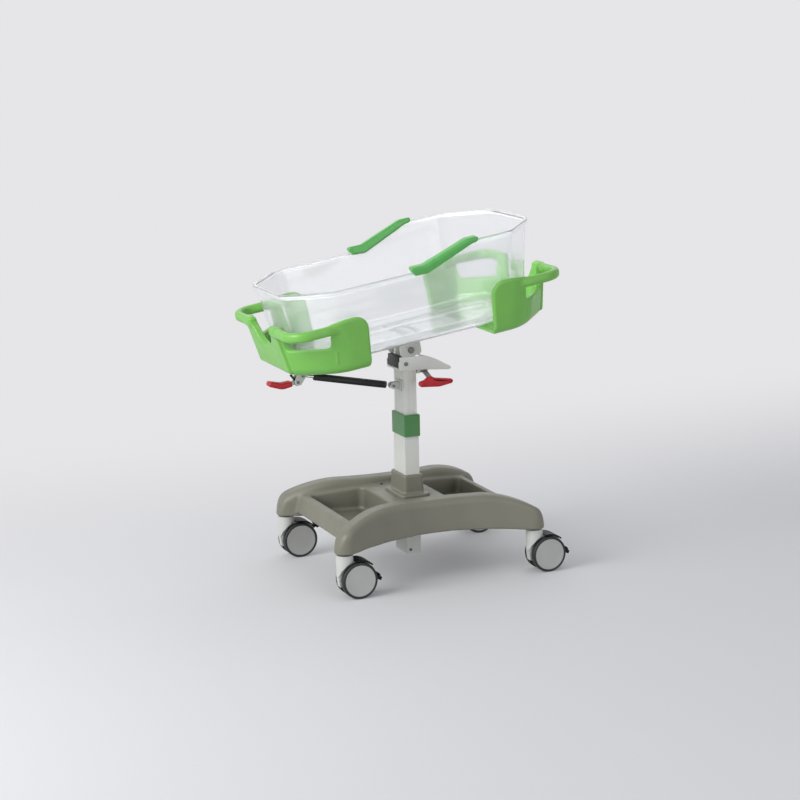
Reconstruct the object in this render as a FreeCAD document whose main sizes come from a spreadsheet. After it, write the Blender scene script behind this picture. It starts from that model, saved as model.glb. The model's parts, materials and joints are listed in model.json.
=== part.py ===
"""Hospital bassinet: a clear tub on a tilting carrier, a lifting column and a castered base.

Millimetres, +Z up, the floor at Z = 0. +X points to the head end of the tub and -Y to the nurse.
The tilting pieces are drawn in a frame of their own: its origin is the tilt pivot, its x runs
along the tub and its z stands square to the tub's floor.
"""
import FreeCAD, Part
import math
import os
import re

import Sketcher
from FreeCAD import Placement, Rotation, Vector

doc = FreeCAD.newDocument("HospitalBassinet")
sheet = doc.addObject("Spreadsheet::Sheet", "Sizes")

# ------------------------------------------------------------------ driving dimensions
SIZES = [
    # the whole
    ("column_x", 20.46, "column axis from the middle of the overall length"),
    ("tilt_rest", 8.4, "head-up tilt of the tub as the part stands, degrees"),
    ("pivot_z", 621.0, "height of the tilt pivot"),
    ("seat_gap", 0.3, "gap between neighbouring pieces of different bodies"),
    ("run_gap", 0.05, "radial running clearance of shafts and pins"),
    # casters
    ("wheel_radius", 50.0, "caster wheel"),
    ("tread_depth", 8.0, "radial thickness of the tyre"),
    ("wheel_width", 18.0, "width of one wheel"),
    ("wheel_gap", 23.0, "gap between the twin wheels"),
    ("hub_dish", 2.0, "how far the hub's face is set in from the tyre's face"),
    ("axle_radius", 5.0, "caster axle"),
    ("axle_proud", 1.0, "axle beyond the hubs, each side"),
    ("caster_trail", 34.0, "axle behind the stem"),
    ("stem_radius", 5.5, "caster stem"),
    ("stem_foot", 93.0, "lower end of the stem"),
    ("stem_collar", 12.0, "spacer round the stem, radius"),
    ("stem_x", 283.0, "stems from the column, along the length"),
    ("stem_y", 227.0, "stems from the column, across"),
    ("housing_radius", 23.0, "round front of the caster housing"),
    ("housing_foot", 60.0, "lower edge of the housing's front"),
    ("housing_top", 121.0, "top of the caster housing"),
    ("housing_core", 19.0, "width of the housing between the wheels"),
    ("core_foot", 34.0, "lower edge of the housing between the wheels"),
    ("neck_front", 20.0, "web between the wheels, in front of the stem"),
    ("neck_back", 22.0, "web between the wheels, behind the stem"),
    ("neck_drop", 8.0, "top of the web below the housing's top"),
    ("core_back", 78.0, "where the core ends, behind the stem"),
    ("core_back_top", 74.0, "how high the core's end reaches"),
    ("arch_start", 190.0, "front end of the housing's cut-out round the wheels, degrees"),
    ("arch_sweep", 120.0, "angle of the cut-out, degrees"),
    ("arch_rise", 20.0, "back end of the cut-out above the axle"),
    ("slot_front", 9.0, "slot for the pedal, in front of its pin"),
    ("slot_low", 26.0, "slot for the pedal, below the axle"),
    ("slot_high", 46.0, "slot for the pedal, above the axle"),
    ("guard_gap", 3.0, "wheel to guard"),
    ("guard_thick", 4.0, "caster guard"),
    ("guard_width", 52.0, "caster guard over both wheels"),
    ("guard_start", 101.0, "front edge of the guard round the axle, degrees above level"),
    ("guard_sweep", 54.0, "angle that the guard covers, degrees"),
    ("pedal_pin_x", 18.0, "pedal pin behind the axle"),
    ("pedal_pin_z", 16.0, "pedal pin above the axle"),
    ("pedal_pin_radius", 2.5, "pedal pin"),
    ("pedal_up", 24.0, "released brake pedal above level, degrees"),
    ("pedal_down", 24.0, "pressed brake pedal below level, degrees"),
    ("pedal_reach", 52.0, "pedal pin to pedal tip"),
    ("pedal_neck", 39.0, "pedal pin to the tread plate"),
    ("pedal_boss", 6.0, "round end of the pedal's arm on its pin, radius"),
    ("pedal_arm", 10.0, "width of the pedal's arm"),
    ("pedal_width", 34.0, "tread plate across"),
    ("pedal_thick", 8.0, "pedal thickness"),
    ("tread_proud", 1.0, "tread plate above the pedal's arm"),
    ("tread_end", 2.0, "tread plate beyond the end of the pedal's arm"),
    # base
    ("base_half_length", 311.0, "base arms, half their length"),
    ("arm_width", 62.0, "base arm across"),
    ("arm_bow", 68.0, "how far the middle of an arm bows in"),
    ("arm_foot_z", 125.5, "underside of the arms at the casters"),
    ("arm_arch_z", 135.0, "underside of the arms in the middle"),
    ("arm_foot_length", 56.0, "level stretch of the underside at each end"),
    ("arm_top_z", 227.0, "crown of the arms"),
    ("arm_crown", 150.0, "half the level stretch of the crown"),
    ("arm_shoulder_x", 235.0, "point on the crown's fall"),
    ("arm_shoulder_z", 209.0, "point on the crown's fall"),
    ("arm_brow_x", 285.0, "point where the fall steepens"),
    ("arm_brow_z", 185.0, "point where the fall steepens"),
    ("arm_tip_z", 148.0, "where an arm's end turns down"),
    ("nose_out", 3.0, "how far an arm's end bulges, outwards"),
    ("nose_up", 4.0, "how far an arm's end bulges, upwards"),
    ("arm_edge", 6.0, "cut edges along the arms"),
    ("cover_wall", 4.0, "wall of the moulded base"),
    ("tray_top_z", 208.0, "tray surface beside the column"),
    ("tray_flat", 48.0, "half the level stretch of the tray"),
    ("tray_end_z", 187.0, "tray surface at its ends"),
    ("tray_bulge", 0.125, "how far the tray's fall bulges, as a share of the fall"),
    ("tray_half_length", 254.0, "tray, half its length at the top"),
    ("tray_foot_half", 266.0, "tray, half its length at the foot"),
    ("tray_foot_z", 138.0, "lower edge of the tray's end walls"),
    ("well_near_x", 84.0, "storage well, side beside the column"),
    ("well_far_x", 232.0, "storage well, outer side"),
    ("well_floor_z", 157.0, "storage well floor"),
    ("well_side_gap", 11.0, "storage well to the arm"),
    ("well_corner", 14.0, "storage well, rounding of its corners"),
    ("cover_hole_gap", 1.0, "column tube to the opening in the base cover"),
    ("frame_bar", 24.0, "side of the square steel bars in the base"),
    ("frame_foot_z", 136.0, "underside of the steel bars"),
    ("frame_inset", 14.0, "bar's outer end from the arm's end"),
    ("frame_cross_x", 26.0, "cross bar's inner side from the column axis"),
    ("frame_cross_width", 20.0, "cross bar, along the length"),
    ("frame_lap", 2.0, "how far the side bars run on past the cross bars' inner side"),
    ("frame_stray", 1.0, "how far outside the stems a side bar may run"),
    ("socket_wall", 5.0, "steel socket round the column"),
    ("socket_top_z", 200.0, "top of the steel socket"),
    # column
    ("tube_x", 42.0, "outer column tube along the length"),
    ("tube_y", 80.0, "outer column tube across"),
    ("tube_wall", 2.0, "outer column tube wall"),
    ("tube_foot_z", 40.0, "lower end of the outer tube"),
    ("tube_floor", 5.0, "end plate of the outer tube"),
    ("tube_head_z", 402.0, "upper end of the outer tube"),
    ("bush_wall", 1.0, "plastic guide bush between the tubes"),
    ("bush_length", 60.0, "guide bush"),
    ("slide_gap", 0.1, "clearance of the inner tube in its bush, each side"),
    ("inner_wall", 2.5, "inner column tube wall"),
    ("inner_foot_z", 112.0, "lower end of the inner tube"),
    ("groove_width", 3.0, "grooves drawn along the inner tube"),
    ("groove_depth", 0.8, "grooves drawn along the inner tube"),
    ("groove_pitch", 12.0, "grooves drawn along the inner tube"),
    ("collar_x", 48.0, "collar along the length"),
    ("collar_y", 92.0, "collar across"),
    ("collar_foot_z", 377.0, "lower edge of the collar"),
    ("collar_head_z", 438.0, "upper edge of the collar"),
    ("collar_gap", 0.4, "collar to the inner tube"),
    ("collar_edge", 4.0, "rounding of the collar"),
    ("boot_x", 60.0, "boot along the length"),
    ("boot_y", 104.0, "boot across"),
    ("boot_head_z", 268.0, "top of the boot"),
    ("flange_x", 88.0, "boot flange along the length"),
    ("flange_y", 132.0, "boot flange across"),
    ("flange_thick", 9.0, "boot flange"),
    ("boot_corner", 10.0, "corners of the boot"),
    ("boot_bevel", 3.0, "cut upper edges of the boot"),
    ("spring_radius", 13.0, "gas spring cylinder of the lift"),
    ("spring_bore", 11.0, "bore of the lift's gas spring"),
    ("spring_head_z", 318.0, "top of the lift's gas spring cylinder"),
    ("spring_gland", 12.0, "end wall of the gas spring"),
    ("spring_rod", 5.0, "gas spring rod radius"),
    ("piston_z", 150.0, "piston of the lift's gas spring"),
    ("piston_length", 16.0, "pistons"),
    ("piston_gap", 0.2, "piston to bore"),
    # column head
    ("head_foot_z", 565.0, "lower edge of the column head"),
    ("head_seat_z", 586.0, "upper end of the inner tube in the head"),
    ("head_deck_z", 590.0, "deck of the column head"),
    ("head_back", 36.0, "column head towards the foot"),
    ("head_front", 31.0, "column head towards the head end"),
    ("head_half_y", 46.0, "column head, half its width"),
    ("head_edge", 5.0, "rounding of the column head"),
    ("head_side", 5.0, "side walls of the head's open back"),
    ("lever_lug", 10.0, "lug of the lever's pin under the head"),
    ("lug_outer", 38.0, "outer face of the pivot lugs"),
    ("lug_thick", 9.0, "pivot lug"),
    ("lug_sink", 2.0, "how far a lug reaches into the head's block"),
    ("lug_radius", 15.0, "round top of the pivot lugs"),
    ("pivot_radius", 6.0, "tilt pivot bolt"),
    ("bolt_head", 9.0, "head of the pivot bolt, radius"),
    ("bolt_bevel", 1.0, "cut edges of the pivot bolt's heads"),
    ("bolt_height", 5.0, "head of the pivot bolt"),
    ("guard_top_z", 604.0, "upper edge of the lever guard at the head"),
    ("guard_low_z", 567.0, "lower edge of the lever guard"),
    ("guard_tip_x", 119.0, "tip of the lever guard"),
    ("guard_tip_z", 569.0, "upper edge at the tip"),
    ("guard_tip_low", 556.0, "lower edge at the tip"),
    ("guard_knee_x", 74.0, "bend in the upper edge"),
    ("guard_knee_z", 591.0, "bend in the upper edge"),
    ("guard_sheet", 2.5, "sheet of the lever guard"),
    ("guard_slant", 17.0, "slant of the guard's foot-side edge"),
    ("guard_fall", 3.0, "how far the guard's lower edge falls to the head's front"),
    ("hood_depth", 40.0, "how far the guard reaches over the lever"),
    ("strut_pin_x", 39.0, "strut pin on the column, from the column axis"),
    ("strut_pin_z", 518.0, "strut pin on the column, height"),
    ("strut_pin_radius", 4.0, "pins of the tilt strut"),
    ("clevis_gap", 14.0, "width between a pair of ears"),
    ("ear_thick", 4.0, "ears that hold a pin"),
    ("pin_proud", 1.5, "a clevis pin beyond the ears, each side"),
    ("ear_radius", 9.0, "round end of an ear"),
    ("bracket_plate", 3.0, "plate of the strut bracket on the tube"),
    ("bracket_half_y", 20.0, "plate of the strut bracket, half its width"),
    ("bracket_below", 15.0, "plate below the pin"),
    ("bracket_above", 16.0, "plate above the pin"),
    # tilt strut
    ("clevis_reach", 309.0, "strut's far pin from the pivot, along the tub"),
    ("clevis_drop", 4.0, "strut's far pin below the pivot"),
    ("clevis_flare", 4.0, "clevis plate beyond its pins' ears"),
    ("clevis_toe", 3.0, "clevis plate's lowest corner beyond the pin"),
    ("clevis_cut", 1.0, "cut corners of the clevis plate"),
    ("clevis_brow", 10.0, "clevis plate above the strut's pin at its back"),
    ("strut_radius", 10.0, "strut cylinder"),
    ("strut_bore", 8.0, "strut cylinder bore"),
    ("strut_start", 20.0, "cylinder's end from its pin"),
    ("strut_end", 236.0, "cylinder's gland from its pin"),
    ("strut_gland", 10.0, "end wall of the strut cylinder"),
    ("strut_rod_radius", 4.0, "strut rod"),
    ("strut_piston", 62.0, "strut piston from the cylinder's pin"),
    ("strut_eye", 8.0, "eye of the strut cylinder"),
    ("strut_neck", 4.8, "neck behind the strut's eye, half its depth"),
    ("neck_lap", 1.0, "how far the neck reaches into the cylinder"),
    ("neck_inset", 1.0, "how much narrower the neck is than the eye, each side"),
    ("strut_far_eye", 10.5, "eye at the end of the strut rod"),
    ("strut_eye_gap", 2.6, "clearance of the open far pin in the rod's eye"),
    # carrier, in the tilting frame
    ("rail_y", 90.0, "middle of a carrier rail"),
    ("rail_width", 22.0, "carrier rail across"),
    ("rail_foot", 34.0, "underside of the rails above the pivot"),
    ("rail_height", 18.0, "carrier rail"),
    ("rail_half_length", 322.0, "carrier rail, half its length"),
    ("rail_wall", 2.0, "carrier rail wall"),
    ("cross_width", 20.0, "cross bars of the carrier"),
    ("cross_outer", 300.0, "outer cross bars from the pivot"),
    ("cross_middle", 150.0, "middle cross bars from the pivot"),
    ("saddle_outer", 45.5, "outer face of the saddle cheeks"),
    ("saddle_sheet", 4.0, "saddle plates"),
    ("saddle_half_x", 31.0, "saddle, half its length"),
    ("saddle_drop", 17.0, "saddle below the pivot"),
    ("saddle_cut", 7.0, "cut corners of the saddle cheeks"),
    ("tilt_lever_pin", 326.0, "tilt lever pin from the pivot, along the tub"),
    ("tilt_lever_drop", 18.0, "tilt lever pin below the pivot"),
    # tub, in the tilting frame
    ("tub_floor", 52.0, "underside of the tub above the pivot"),
    ("tub_wall", 4.0, "clear wall"),
    ("tub_low_rim", 250.0, "rim at the foot end"),
    ("tub_high_rim", 301.0, "rim at the head end"),
    ("tub_step_low", 8.0, "lower end of the rim's slope, towards the head"),
    ("tub_step_high", 140.0, "upper end of the rim's slope, towards the head"),
    ("tub_half_length", 336.0, "tub at its floor, half its length"),
    ("tub_half_width", 192.0, "tub at its floor, half its width"),
    ("tub_draft", 8.03, "slope of the tub's walls, degrees"),
    ("tub_chamfer", 98.0, "cut corner at the floor, along the length"),
    ("tub_chamfer_rim", 109.0, "cut corner at the rim, along the length"),
    ("tub_end_half", 105.0, "end wall at the floor, half its width"),
    ("tub_end_rim", 115.0, "end wall at the rim, half its width"),
    ("tub_corner", 22.0, "rounding of the tub's corners"),
    ("lip_width", 6.0, "outward lip of the rim"),
    ("lip_height", 13.0, "turned down lip"),
    ("lip_sheet", 3.5, "thickness of the lip"),
    ("bead_radius", 3.0, "beads along the tub's sides"),
    ("bead_first", 28.0, "lowest bead above the tub's floor"),
    ("bead_pitch", 32.0, "beads along the tub's sides"),
    ("bead_half_length", 170.0, "beads along the tub's sides"),
    ("bead_count", 3, "beads on each side"),
    ("grip_above", 15.0, "grip above the low rim"),
    ("grip_crest", 8.0, "grip above the high rim"),
    ("grip_below", 8.0, "grip below the rim"),
    ("grip_width", 26.0, "grip across the rim"),
    ("grip_tail", 46.0, "level lower end of the grip"),
    ("grip_nose", 25.0, "level upper end of the grip"),
    ("grip_edge", 4.5, "bevel of the grip"),
    # end brackets, in the tilting frame
    ("bracket_foot", 26.0, "underside of the bracket"),
    ("bracket_shelf", 8.0, "shelf under the tub"),
    ("bracket_top", 168.0, "top of cheeks and bars"),
    ("bracket_sill", 103.0, "top of the wall under the bars"),
    ("bracket_reach", 375.5, "end wall at the foot of the bracket"),
    ("bracket_half_width", 221.0, "cheek at the foot of the bracket"),
    ("bracket_lean", 10.8, "outward lean of the bracket's walls, degrees"),
    ("bracket_wall", 18.0, "bracket wall"),
    ("bracket_inner_end", 182.0, "free end of the cheeks"),
    ("bracket_chamfer", 103.0, "cut corner, along the length"),
    ("bracket_end_half", 115.0, "end wall, half its width"),
    ("bracket_corner", 34.0, "rounding of the upright corners"),
    ("bracket_round", 22.0, "rounding of the lower edge"),
    ("cheek_round", 40.0, "rounding of the cheek's upper corner"),
    ("cheek_post", 106.0, "length of the cheek's top"),
    ("ear_post_outer", 122.0, "outer side of the end wall's posts"),
    ("notch_half_top", 77.0, "hand notch in the end wall, at the top"),
    ("notch_half_sill", 40.0, "hand notch in the end wall, at its sill"),
    ("notch_round", 22.0, "rounding of the hand notch"),
    ("notch_flare", 12.0, "upright stretch and rounding at the top of the hand notch"),
    ("bar_foot", 141.0, "underside of the carrying bars"),
    ("bar_end_overhang", 30.5, "outer face of the bars beyond the foot of the end wall"),
    ("bar_side_overhang", 28.0, "outer face of the bars beyond the foot of the cheeks"),
    ("bar_thick", 22.0, "carrying bar"),
    ("bar_lap", 12.0, "how far the bars run on beside the cheeks"),
    ("bar_corner", 64.0, "outer corner radius of the bars"),
    ("bar_edge", 5.0, "cut edges of the bars"),
    ("rib_radius", 4.0, "rib on the cheek"),
    ("rib_sink", 2.0, "rib's axis behind the cheek's face"),
    ("rib_x", 276.0, "rib from the pivot, along the tub"),
    ("rib_foot", 60.0, "rib, lower end"),
    ("rib_top", 93.0, "rib, upper end"),
    ("clevis_window", 22.0, "half width of the opening in the shelf for the strut"),
    ("window_near", 284.0, "opening in the shelf, near end"),
    ("window_far", 350.0, "opening in the shelf, far end"),
    # levers
    ("lever_pin_y", 28.0, "lift lever pin, towards the nurse"),
    ("lever_pin_z", 560.0, "lift lever pin, height"),
    ("lever_pin_radius", 4.0, "lift lever pin"),
    ("lever_pin_length", 26.0, "lift lever pin"),
    ("lever_boss", 8.0, "boss of a lever, radius"),
    ("lever_near_x", 35.0, "lift lever's boss, near end"),
    ("lever_far_x", 53.0, "lift lever's boss, far end"),
    ("lever_width", 10.0, "lever bar"),
    ("lever_depth", 9.0, "lever bar"),
    ("root_in", 2.0, "lever bar's root, inwards of the pin"),
    ("root_low", 6.0, "lever bar's root, below the pin"),
    ("root_out", 5.0, "lever bar's root, outwards of the pin"),
    ("root_high", 2.0, "lever bar's root, above the pin"),
    ("bar_tip_high", 5.0, "lever bar's end, above the grip's axis"),
    ("bar_tip_low", 4.0, "lever bar's end, below the grip's axis"),
    ("lift_grip_x", 52.0, "lift grip, its middle from the column axis"),
    ("lift_grip_y", 95.0, "lift grip, towards the nurse"),
    ("lift_grip_z", 536.0, "lift grip, height"),
    ("lift_grip_length", 98.0, "lift grip"),
    ("lift_grip_radius", 9.5, "lift grip"),
    ("tilt_boss", 7.0, "boss of the tilt lever, radius"),
    ("stalk_seat", 12.0, "how far the tilt lever's stalk reaches into its grip"),
    ("tilt_grip_near", 16.0, "tilt grip, near end from its pin"),
    ("tilt_grip_knee", 42.0, "tilt grip, bend from its pin"),
    ("tilt_grip_tip", 81.0, "tilt grip, tip from its pin"),
    ("tilt_grip_rise", 14.0, "tilt grip, how far the tip rises"),
    ("tilt_grip_depth", 13.0, "tilt grip, thickness"),
    ("paddle_rake", 1.0, "tilt grip's upper tip behind its lower tip"),
    ("paddle_thin", 2.0, "how much thinner the tilt grip is at its tip"),
    ("paddle_belly", 1.0, "tilt grip's belly at its bend"),
    ("tilt_grip_width", 30.0, "tilt grip, across"),
    ("grip_round", 6.0, "rounding of the lever grips"),
    ("link_length", 27.0, "release link from the lever's pin to its tip"),
    ("link_width", 6.0, "release link"),
    ("link_angle", 122.0, "release link above the head end's level, degrees"),
    # screws
    ("screw_radius", 4.0, "screw heads"),
    ("screw_height", 2.6, "screw heads"),
    ("cover_screw_x", 30.0, "cover screws from the column, along the length"),
    ("cover_screw_y", 118.0, "cover screws from the column, across"),
    ("foot_screw_x", 10.5, "screw in the foot of the outer tube, off its middle"),
    ("foot_screw_rise", 12.0, "screw in the foot of the outer tube, above its lower end"),
    ("head_screw_x", 16.8, "screw in the column head, from the column axis"),
    ("head_screw_drop", 6.0, "screw in the column head, below its deck"),
    ("head_screw_radius", 5.5, "screw in the column head"),
    ("rail_screw_near", 220.0, "bracket screws from the pivot"),
    ("rail_screw_far", 306.0, "bracket screws from the pivot"),
]

for row, (alias, number, note) in enumerate(SIZES, start=1):
    sheet.set("A%d" % row, note)
    sheet.set("B%d" % row, repr(number))
    sheet.setAlias("B%d" % row, alias)
doc.recompute()

ALIASES = re.compile(r"\b(%s)\b" % "|".join(alias for alias, number, note in SIZES))
BROAD = math.tan(math.pi / 8)   # a side's end moves by this share where an eight-sided outline grows
REACH = 2000.0      # longer than any piece, for cuts that go right through
TOUCH = 1e-4        # two points closer than this are the same
LEEWAY = 1.0        # margin when edges are told apart by their lengths
MARGIN = 10.0       # how far a cutting solid passes the edge that it trims
NESTED = 1.0        # how far one cutting solid passes the solid that it hollows
PIECES = []


# ------------------------------------------------------------------ helpers
def bound(text):
    """The expression with each size named through the sheet."""
    return ALIASES.sub(r"Sizes.\1", text)


def value(text):
    """What an expression of sizes comes to."""
    return float(sheet.evalExpression(bound(text)))


def new_body(label):
    """A PartDesign body that will be written out under its label."""
    body = doc.addObject("PartDesign::Body", label)
    body.Label = label
    PIECES.append(body)
    return body


def place(piece, x="column_x", y="0", z="0", axis=Vector(0, 1, 0), angle="0"):
    """Put the piece's own origin at a place given by sizes, turned about the axis."""
    turn = Rotation(axis, value(angle))
    piece.Placement = Placement(Vector(value(x), value(y), value(z)), turn)
    for side, text in (("x", x), ("y", y), ("z", z)):
        if ALIASES.search(text):
            piece.setExpression("Placement.Base.%s" % side, bound(text))


def place_on_tub(piece):
    """Put a piece drawn in the tilting frame where the tub stands at rest."""
    place(piece, z="pivot_z", angle="-tilt_rest")


def hold(sketch, kind, index, point, text):
    """Tie one coordinate of a point in the sketch to the sheet."""
    number = sketch.addConstraint(Sketcher.Constraint(kind, -1, 1, index, point, value(text)))
    sketch.setExpression("Constraints[%d]" % number, bound(text))


def draw_outline(sketch, corners):
    """A closed polygon whose corners are held by the sheet."""
    first = sketch.GeometryCount
    spots = [Vector(value(x), value(y), 0) for x, y in corners]
    count = len(spots)
    for index in range(count):
        line = Part.LineSegment(spots[index], spots[(index + 1) % count])
        sketch.addGeometry(line, False)
    for index in range(count):
        following = first + (index + 1) % count
        sketch.addConstraint(Sketcher.Constraint("Coincident", first + index, 2, following, 1))
    for index, (x, y) in enumerate(corners):
        hold(sketch, "DistanceX", first + index, 1, x)
        hold(sketch, "DistanceY", first + index, 1, y)


def draw_circle(sketch, x, y, radius):
    """A circle held by the sheet."""
    centre = Vector(value(x), value(y), 0)
    index = sketch.addGeometry(Part.Circle(centre, Vector(0, 0, 1), value(radius)), False)
    hold(sketch, "DistanceX", index, 3, x)
    hold(sketch, "DistanceY", index, 3, y)
    number = sketch.addConstraint(Sketcher.Constraint("Radius", index, value(radius)))
    sketch.setExpression("Constraints[%d]" % number, bound(radius))


def new_sketch(body, role, shapes, height="0"):
    """A sketch on one of the body's own planes, raised along that plane's normal.

    A shape is a list of corners, or a circle given as (x, y, radius).
    """
    sketch = body.newObject("Sketcher::SketchObject", body.Label + "_sketch")
    plane = [item for item in body.Origin.OriginFeatures if item.Role == role][0]
    sketch.AttachmentSupport = [(plane, "")]
    sketch.MapMode = "FlatFace"
    sketch.AttachmentOffset = Placement(Vector(0, 0, value(height)), Rotation())
    if ALIASES.search(height):
        sketch.setExpression("AttachmentOffset.Base.z", bound(height))
    for shape in shapes:
        if isinstance(shape, tuple):
            draw_circle(sketch, *shape)
        else:
            draw_outline(sketch, shape)
    return sketch


def normal_sign(role):
    """The XZ plane's normal points along -Y, the others point along their axis."""
    return "-1" if role == "XZ_Plane" else "1"


def between(role, low, high):
    """Height of the middle and the length of a span along the plane's axis."""
    middle = "%s * ((%s) + (%s)) / 2" % (normal_sign(role), low, high)
    length = "(%s) - (%s)" % (high, low)
    return middle, length


def settle(body, feature, name):
    """Recompute, and stop where the feature has failed."""
    doc.recompute()
    if "Invalid" in feature.State or "Error" in feature.State or feature.Shape.isNull():
        raise RuntimeError("%s: %s failed" % (body.Label, name))


def pad(body, role, shapes, low, high):
    """A pad of the shapes from low to high along the plane's axis."""
    middle, length = between(role, low, high)
    sketch = new_sketch(body, role, shapes, middle)
    feature = body.newObject("PartDesign::Pad", body.Label + "_pad")
    feature.Profile = sketch
    feature.SideType = "Symmetric"
    feature.Length = value(length)
    feature.setExpression("Length", bound(length))
    settle(body, feature, "pad")
    return feature


def pocket(body, role, shapes, low, high):
    """A pocket of the shapes from low to high, which must take material away."""
    before = body.Shape.Volume
    middle, length = between(role, low, high)
    sketch = new_sketch(body, role, shapes, middle)
    feature = body.newObject("PartDesign::Pocket", body.Label + "_pocket")
    feature.Profile = sketch
    feature.SideType = "Symmetric"
    feature.Length = value(length)
    feature.setExpression("Length", bound(length))
    settle(body, feature, "pocket")
    if body.Shape.Volume > before - TOUCH:
        raise RuntimeError("%s: the pocket cut nothing" % body.Label)
    return feature


def revolve(body, role, shapes, axis, angle="360"):
    """The shapes turned about the sketch's own horizontal or vertical axis."""
    sketch = new_sketch(body, role, shapes)
    feature = body.newObject("PartDesign::Revolution", body.Label + "_revolution")
    feature.Profile = sketch
    feature.ReferenceAxis = (sketch, [axis])
    feature.Angle = value(angle)
    if ALIASES.search(angle):
        feature.setExpression("Angle", bound(angle))
    settle(body, feature, "revolution")
    return feature


def round_edges(body, radius, wanted):
    """A fillet on the edges of the body's tip that the test picks."""
    base = body.Tip
    names = []
    for number, edge in enumerate(base.Shape.Edges, start=1):
        if wanted(edge):
            names.append("Edge%d" % number)
    if not names:
        raise RuntimeError("%s: no edge to round" % body.Label)
    feature = body.newObject("PartDesign::Fillet", body.Label + "_fillet")
    feature.Base = (base, names)
    feature.Radius = value(radius)
    feature.setExpression("Radius", bound(radius))
    settle(body, feature, "fillet")
    return feature


def bevel_edges(body, size, wanted):
    """A chamfer on the edges of the body's tip that the test picks."""
    base = body.Tip
    names = []
    for number, edge in enumerate(base.Shape.Edges, start=1):
        if wanted(edge):
            names.append("Edge%d" % number)
    if not names:
        raise RuntimeError("%s: no edge to bevel" % body.Label)
    feature = body.newObject("PartDesign::Chamfer", body.Label + "_chamfer")
    feature.Base = (base, names)
    feature.Size = value(size)
    feature.setExpression("Size", bound(size))
    settle(body, feature, "chamfer")
    return feature


def runs_along(edge, axis):
    """True for an edge whose two ends differ only along the axis ("X", "Y" or "Z")."""
    box = edge.BoundBox
    lengths = {"X": box.XLength, "Y": box.YLength, "Z": box.ZLength}
    across = [length for name, length in lengths.items() if name != axis]
    return lengths[axis] > TOUCH and max(across) < TOUCH


def lies_at(edge, axis, height):
    """True for an edge that lies wholly at one height along the axis."""
    box = edge.BoundBox
    low = {"X": box.XMin, "Y": box.YMin, "Z": box.ZMin}[axis]
    high = {"X": box.XMax, "Y": box.YMax, "Z": box.ZMax}[axis]
    return abs(low - height) < TOUCH and abs(high - height) < TOUCH


def box_outline(x0, x1, y0, y1):
    """The four corners of a rectangle."""
    return [(x0, y0), (x1, y0), (x1, y1), (x0, y1)]


def centred(x, y):
    """A rectangle of two full widths about the sketch's origin."""
    return box_outline("-(%s) / 2" % x, "(%s) / 2" % x, "-(%s) / 2" % y, "(%s) / 2" % y)


def set_shape(label, shape):
    """A feature whose shape is worked out here from the sheet's sizes."""
    piece = doc.addObject("Part::Feature", label)
    piece.Label = label
    piece.Shape = shape
    PIECES.append(piece)
    return piece


CORNER_FLATS = 3                # straight lengths that stand for a lofted corner's arc


def cornered_wire(corners, radii, level):
    """A closed outline at one level whose rounded corners are each a few straight lengths."""
    count = len(corners)
    spots = [Vector(x, y, level) for x, y in corners]
    line = []
    for index, spot in enumerate(spots):
        back = (spots[index - 1] - spot).normalize()
        ahead = (spots[(index + 1) % count] - spot).normalize()
        half = back.getAngle(ahead) / 2
        radius = radii[index]
        if radius == 0:
            line.append(spot)
            continue
        centre = spot + (back + ahead).normalize() * (radius / math.sin(half))
        first = spot + back * (radius / math.tan(half)) - centre
        last = spot + ahead * (radius / math.tan(half)) - centre
        turn = first.getAngle(last)
        for step in range(CORNER_FLATS + 1):
            share = step / CORNER_FLATS
            part = first * (math.sin((1 - share) * turn) / math.sin(turn))
            line.append(centre + part + last * (math.sin(share * turn) / math.sin(turn)))
    return Part.makePolygon(line + [line[0]])


def rounded_wire(corners, radii, level):
    """A closed outline at one level: straight sides, and an arc of each radius at its corner."""
    count = len(corners)
    spots = [Vector(x, y, level) for x, y in corners]
    arcs = []
    for index, spot in enumerate(spots):
        back = (spots[index - 1] - spot).normalize()
        ahead = (spots[(index + 1) % count] - spot).normalize()
        half = back.getAngle(ahead) / 2
        radius = radii[index]
        first = spot + back * (radius / math.tan(half))
        last = spot + ahead * (radius / math.tan(half))
        bisector = (back + ahead).normalize()
        middle = spot + bisector * (radius / math.sin(half) - radius)
        arcs.append((first, middle, last))
    edges = []
    for index in range(count):
        first, middle, last = arcs[index]
        if radii[index] > 0:
            edges.append(Part.Arc(first, middle, last).toShape())
        start = arcs[(index + 1) % count][0]
        edges.append(Part.makeLine(last, start))
    return Part.Wire(edges)


def plate(corners, radii, level, height):
    """A flat plate of the outline, standing on the level."""
    return Part.Face(rounded_wire(corners, radii, level)).extrude(Vector(0, 0, height))


def side_plate(corners, low, high):
    """An outline in the XZ plane, extruded from low to high along Y."""
    spots = [Vector(x, low, z) for x, z in corners]
    wire = Part.makePolygon(spots + [spots[0]])
    return Part.Face(wire).extrude(Vector(0, high - low, 0))


def rounded_side_plate(corners, radii, low, high):
    """An outline in the XZ plane with rounded corners, extruded from low to high along Y."""
    flat = Part.Face(rounded_wire(corners, radii, 0))
    flat.rotate(Vector(0, 0, 0), Vector(1, 0, 0), 90)
    flat.translate(Vector(0, low, 0))
    return flat.extrude(Vector(0, high - low, 0))


def mirrored(shape, normal):
    """The shape's mirror image through the origin."""
    return shape.mirror(Vector(0, 0, 0), normal)


SIDES = [("near", -1), ("far", 1)]
ENDS = [("foot", -1), ("head", 1)]

# ------------------------------------------------------------------ casters
WHEEL_SPREAD = "(wheel_gap + wheel_width) / 2"
WHEEL_ARCH_STEPS = 6            # flats of the housing's cut-out over the wheels
RELEASED = ("far", "foot")      # the caster whose brake pedal stands up


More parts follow.
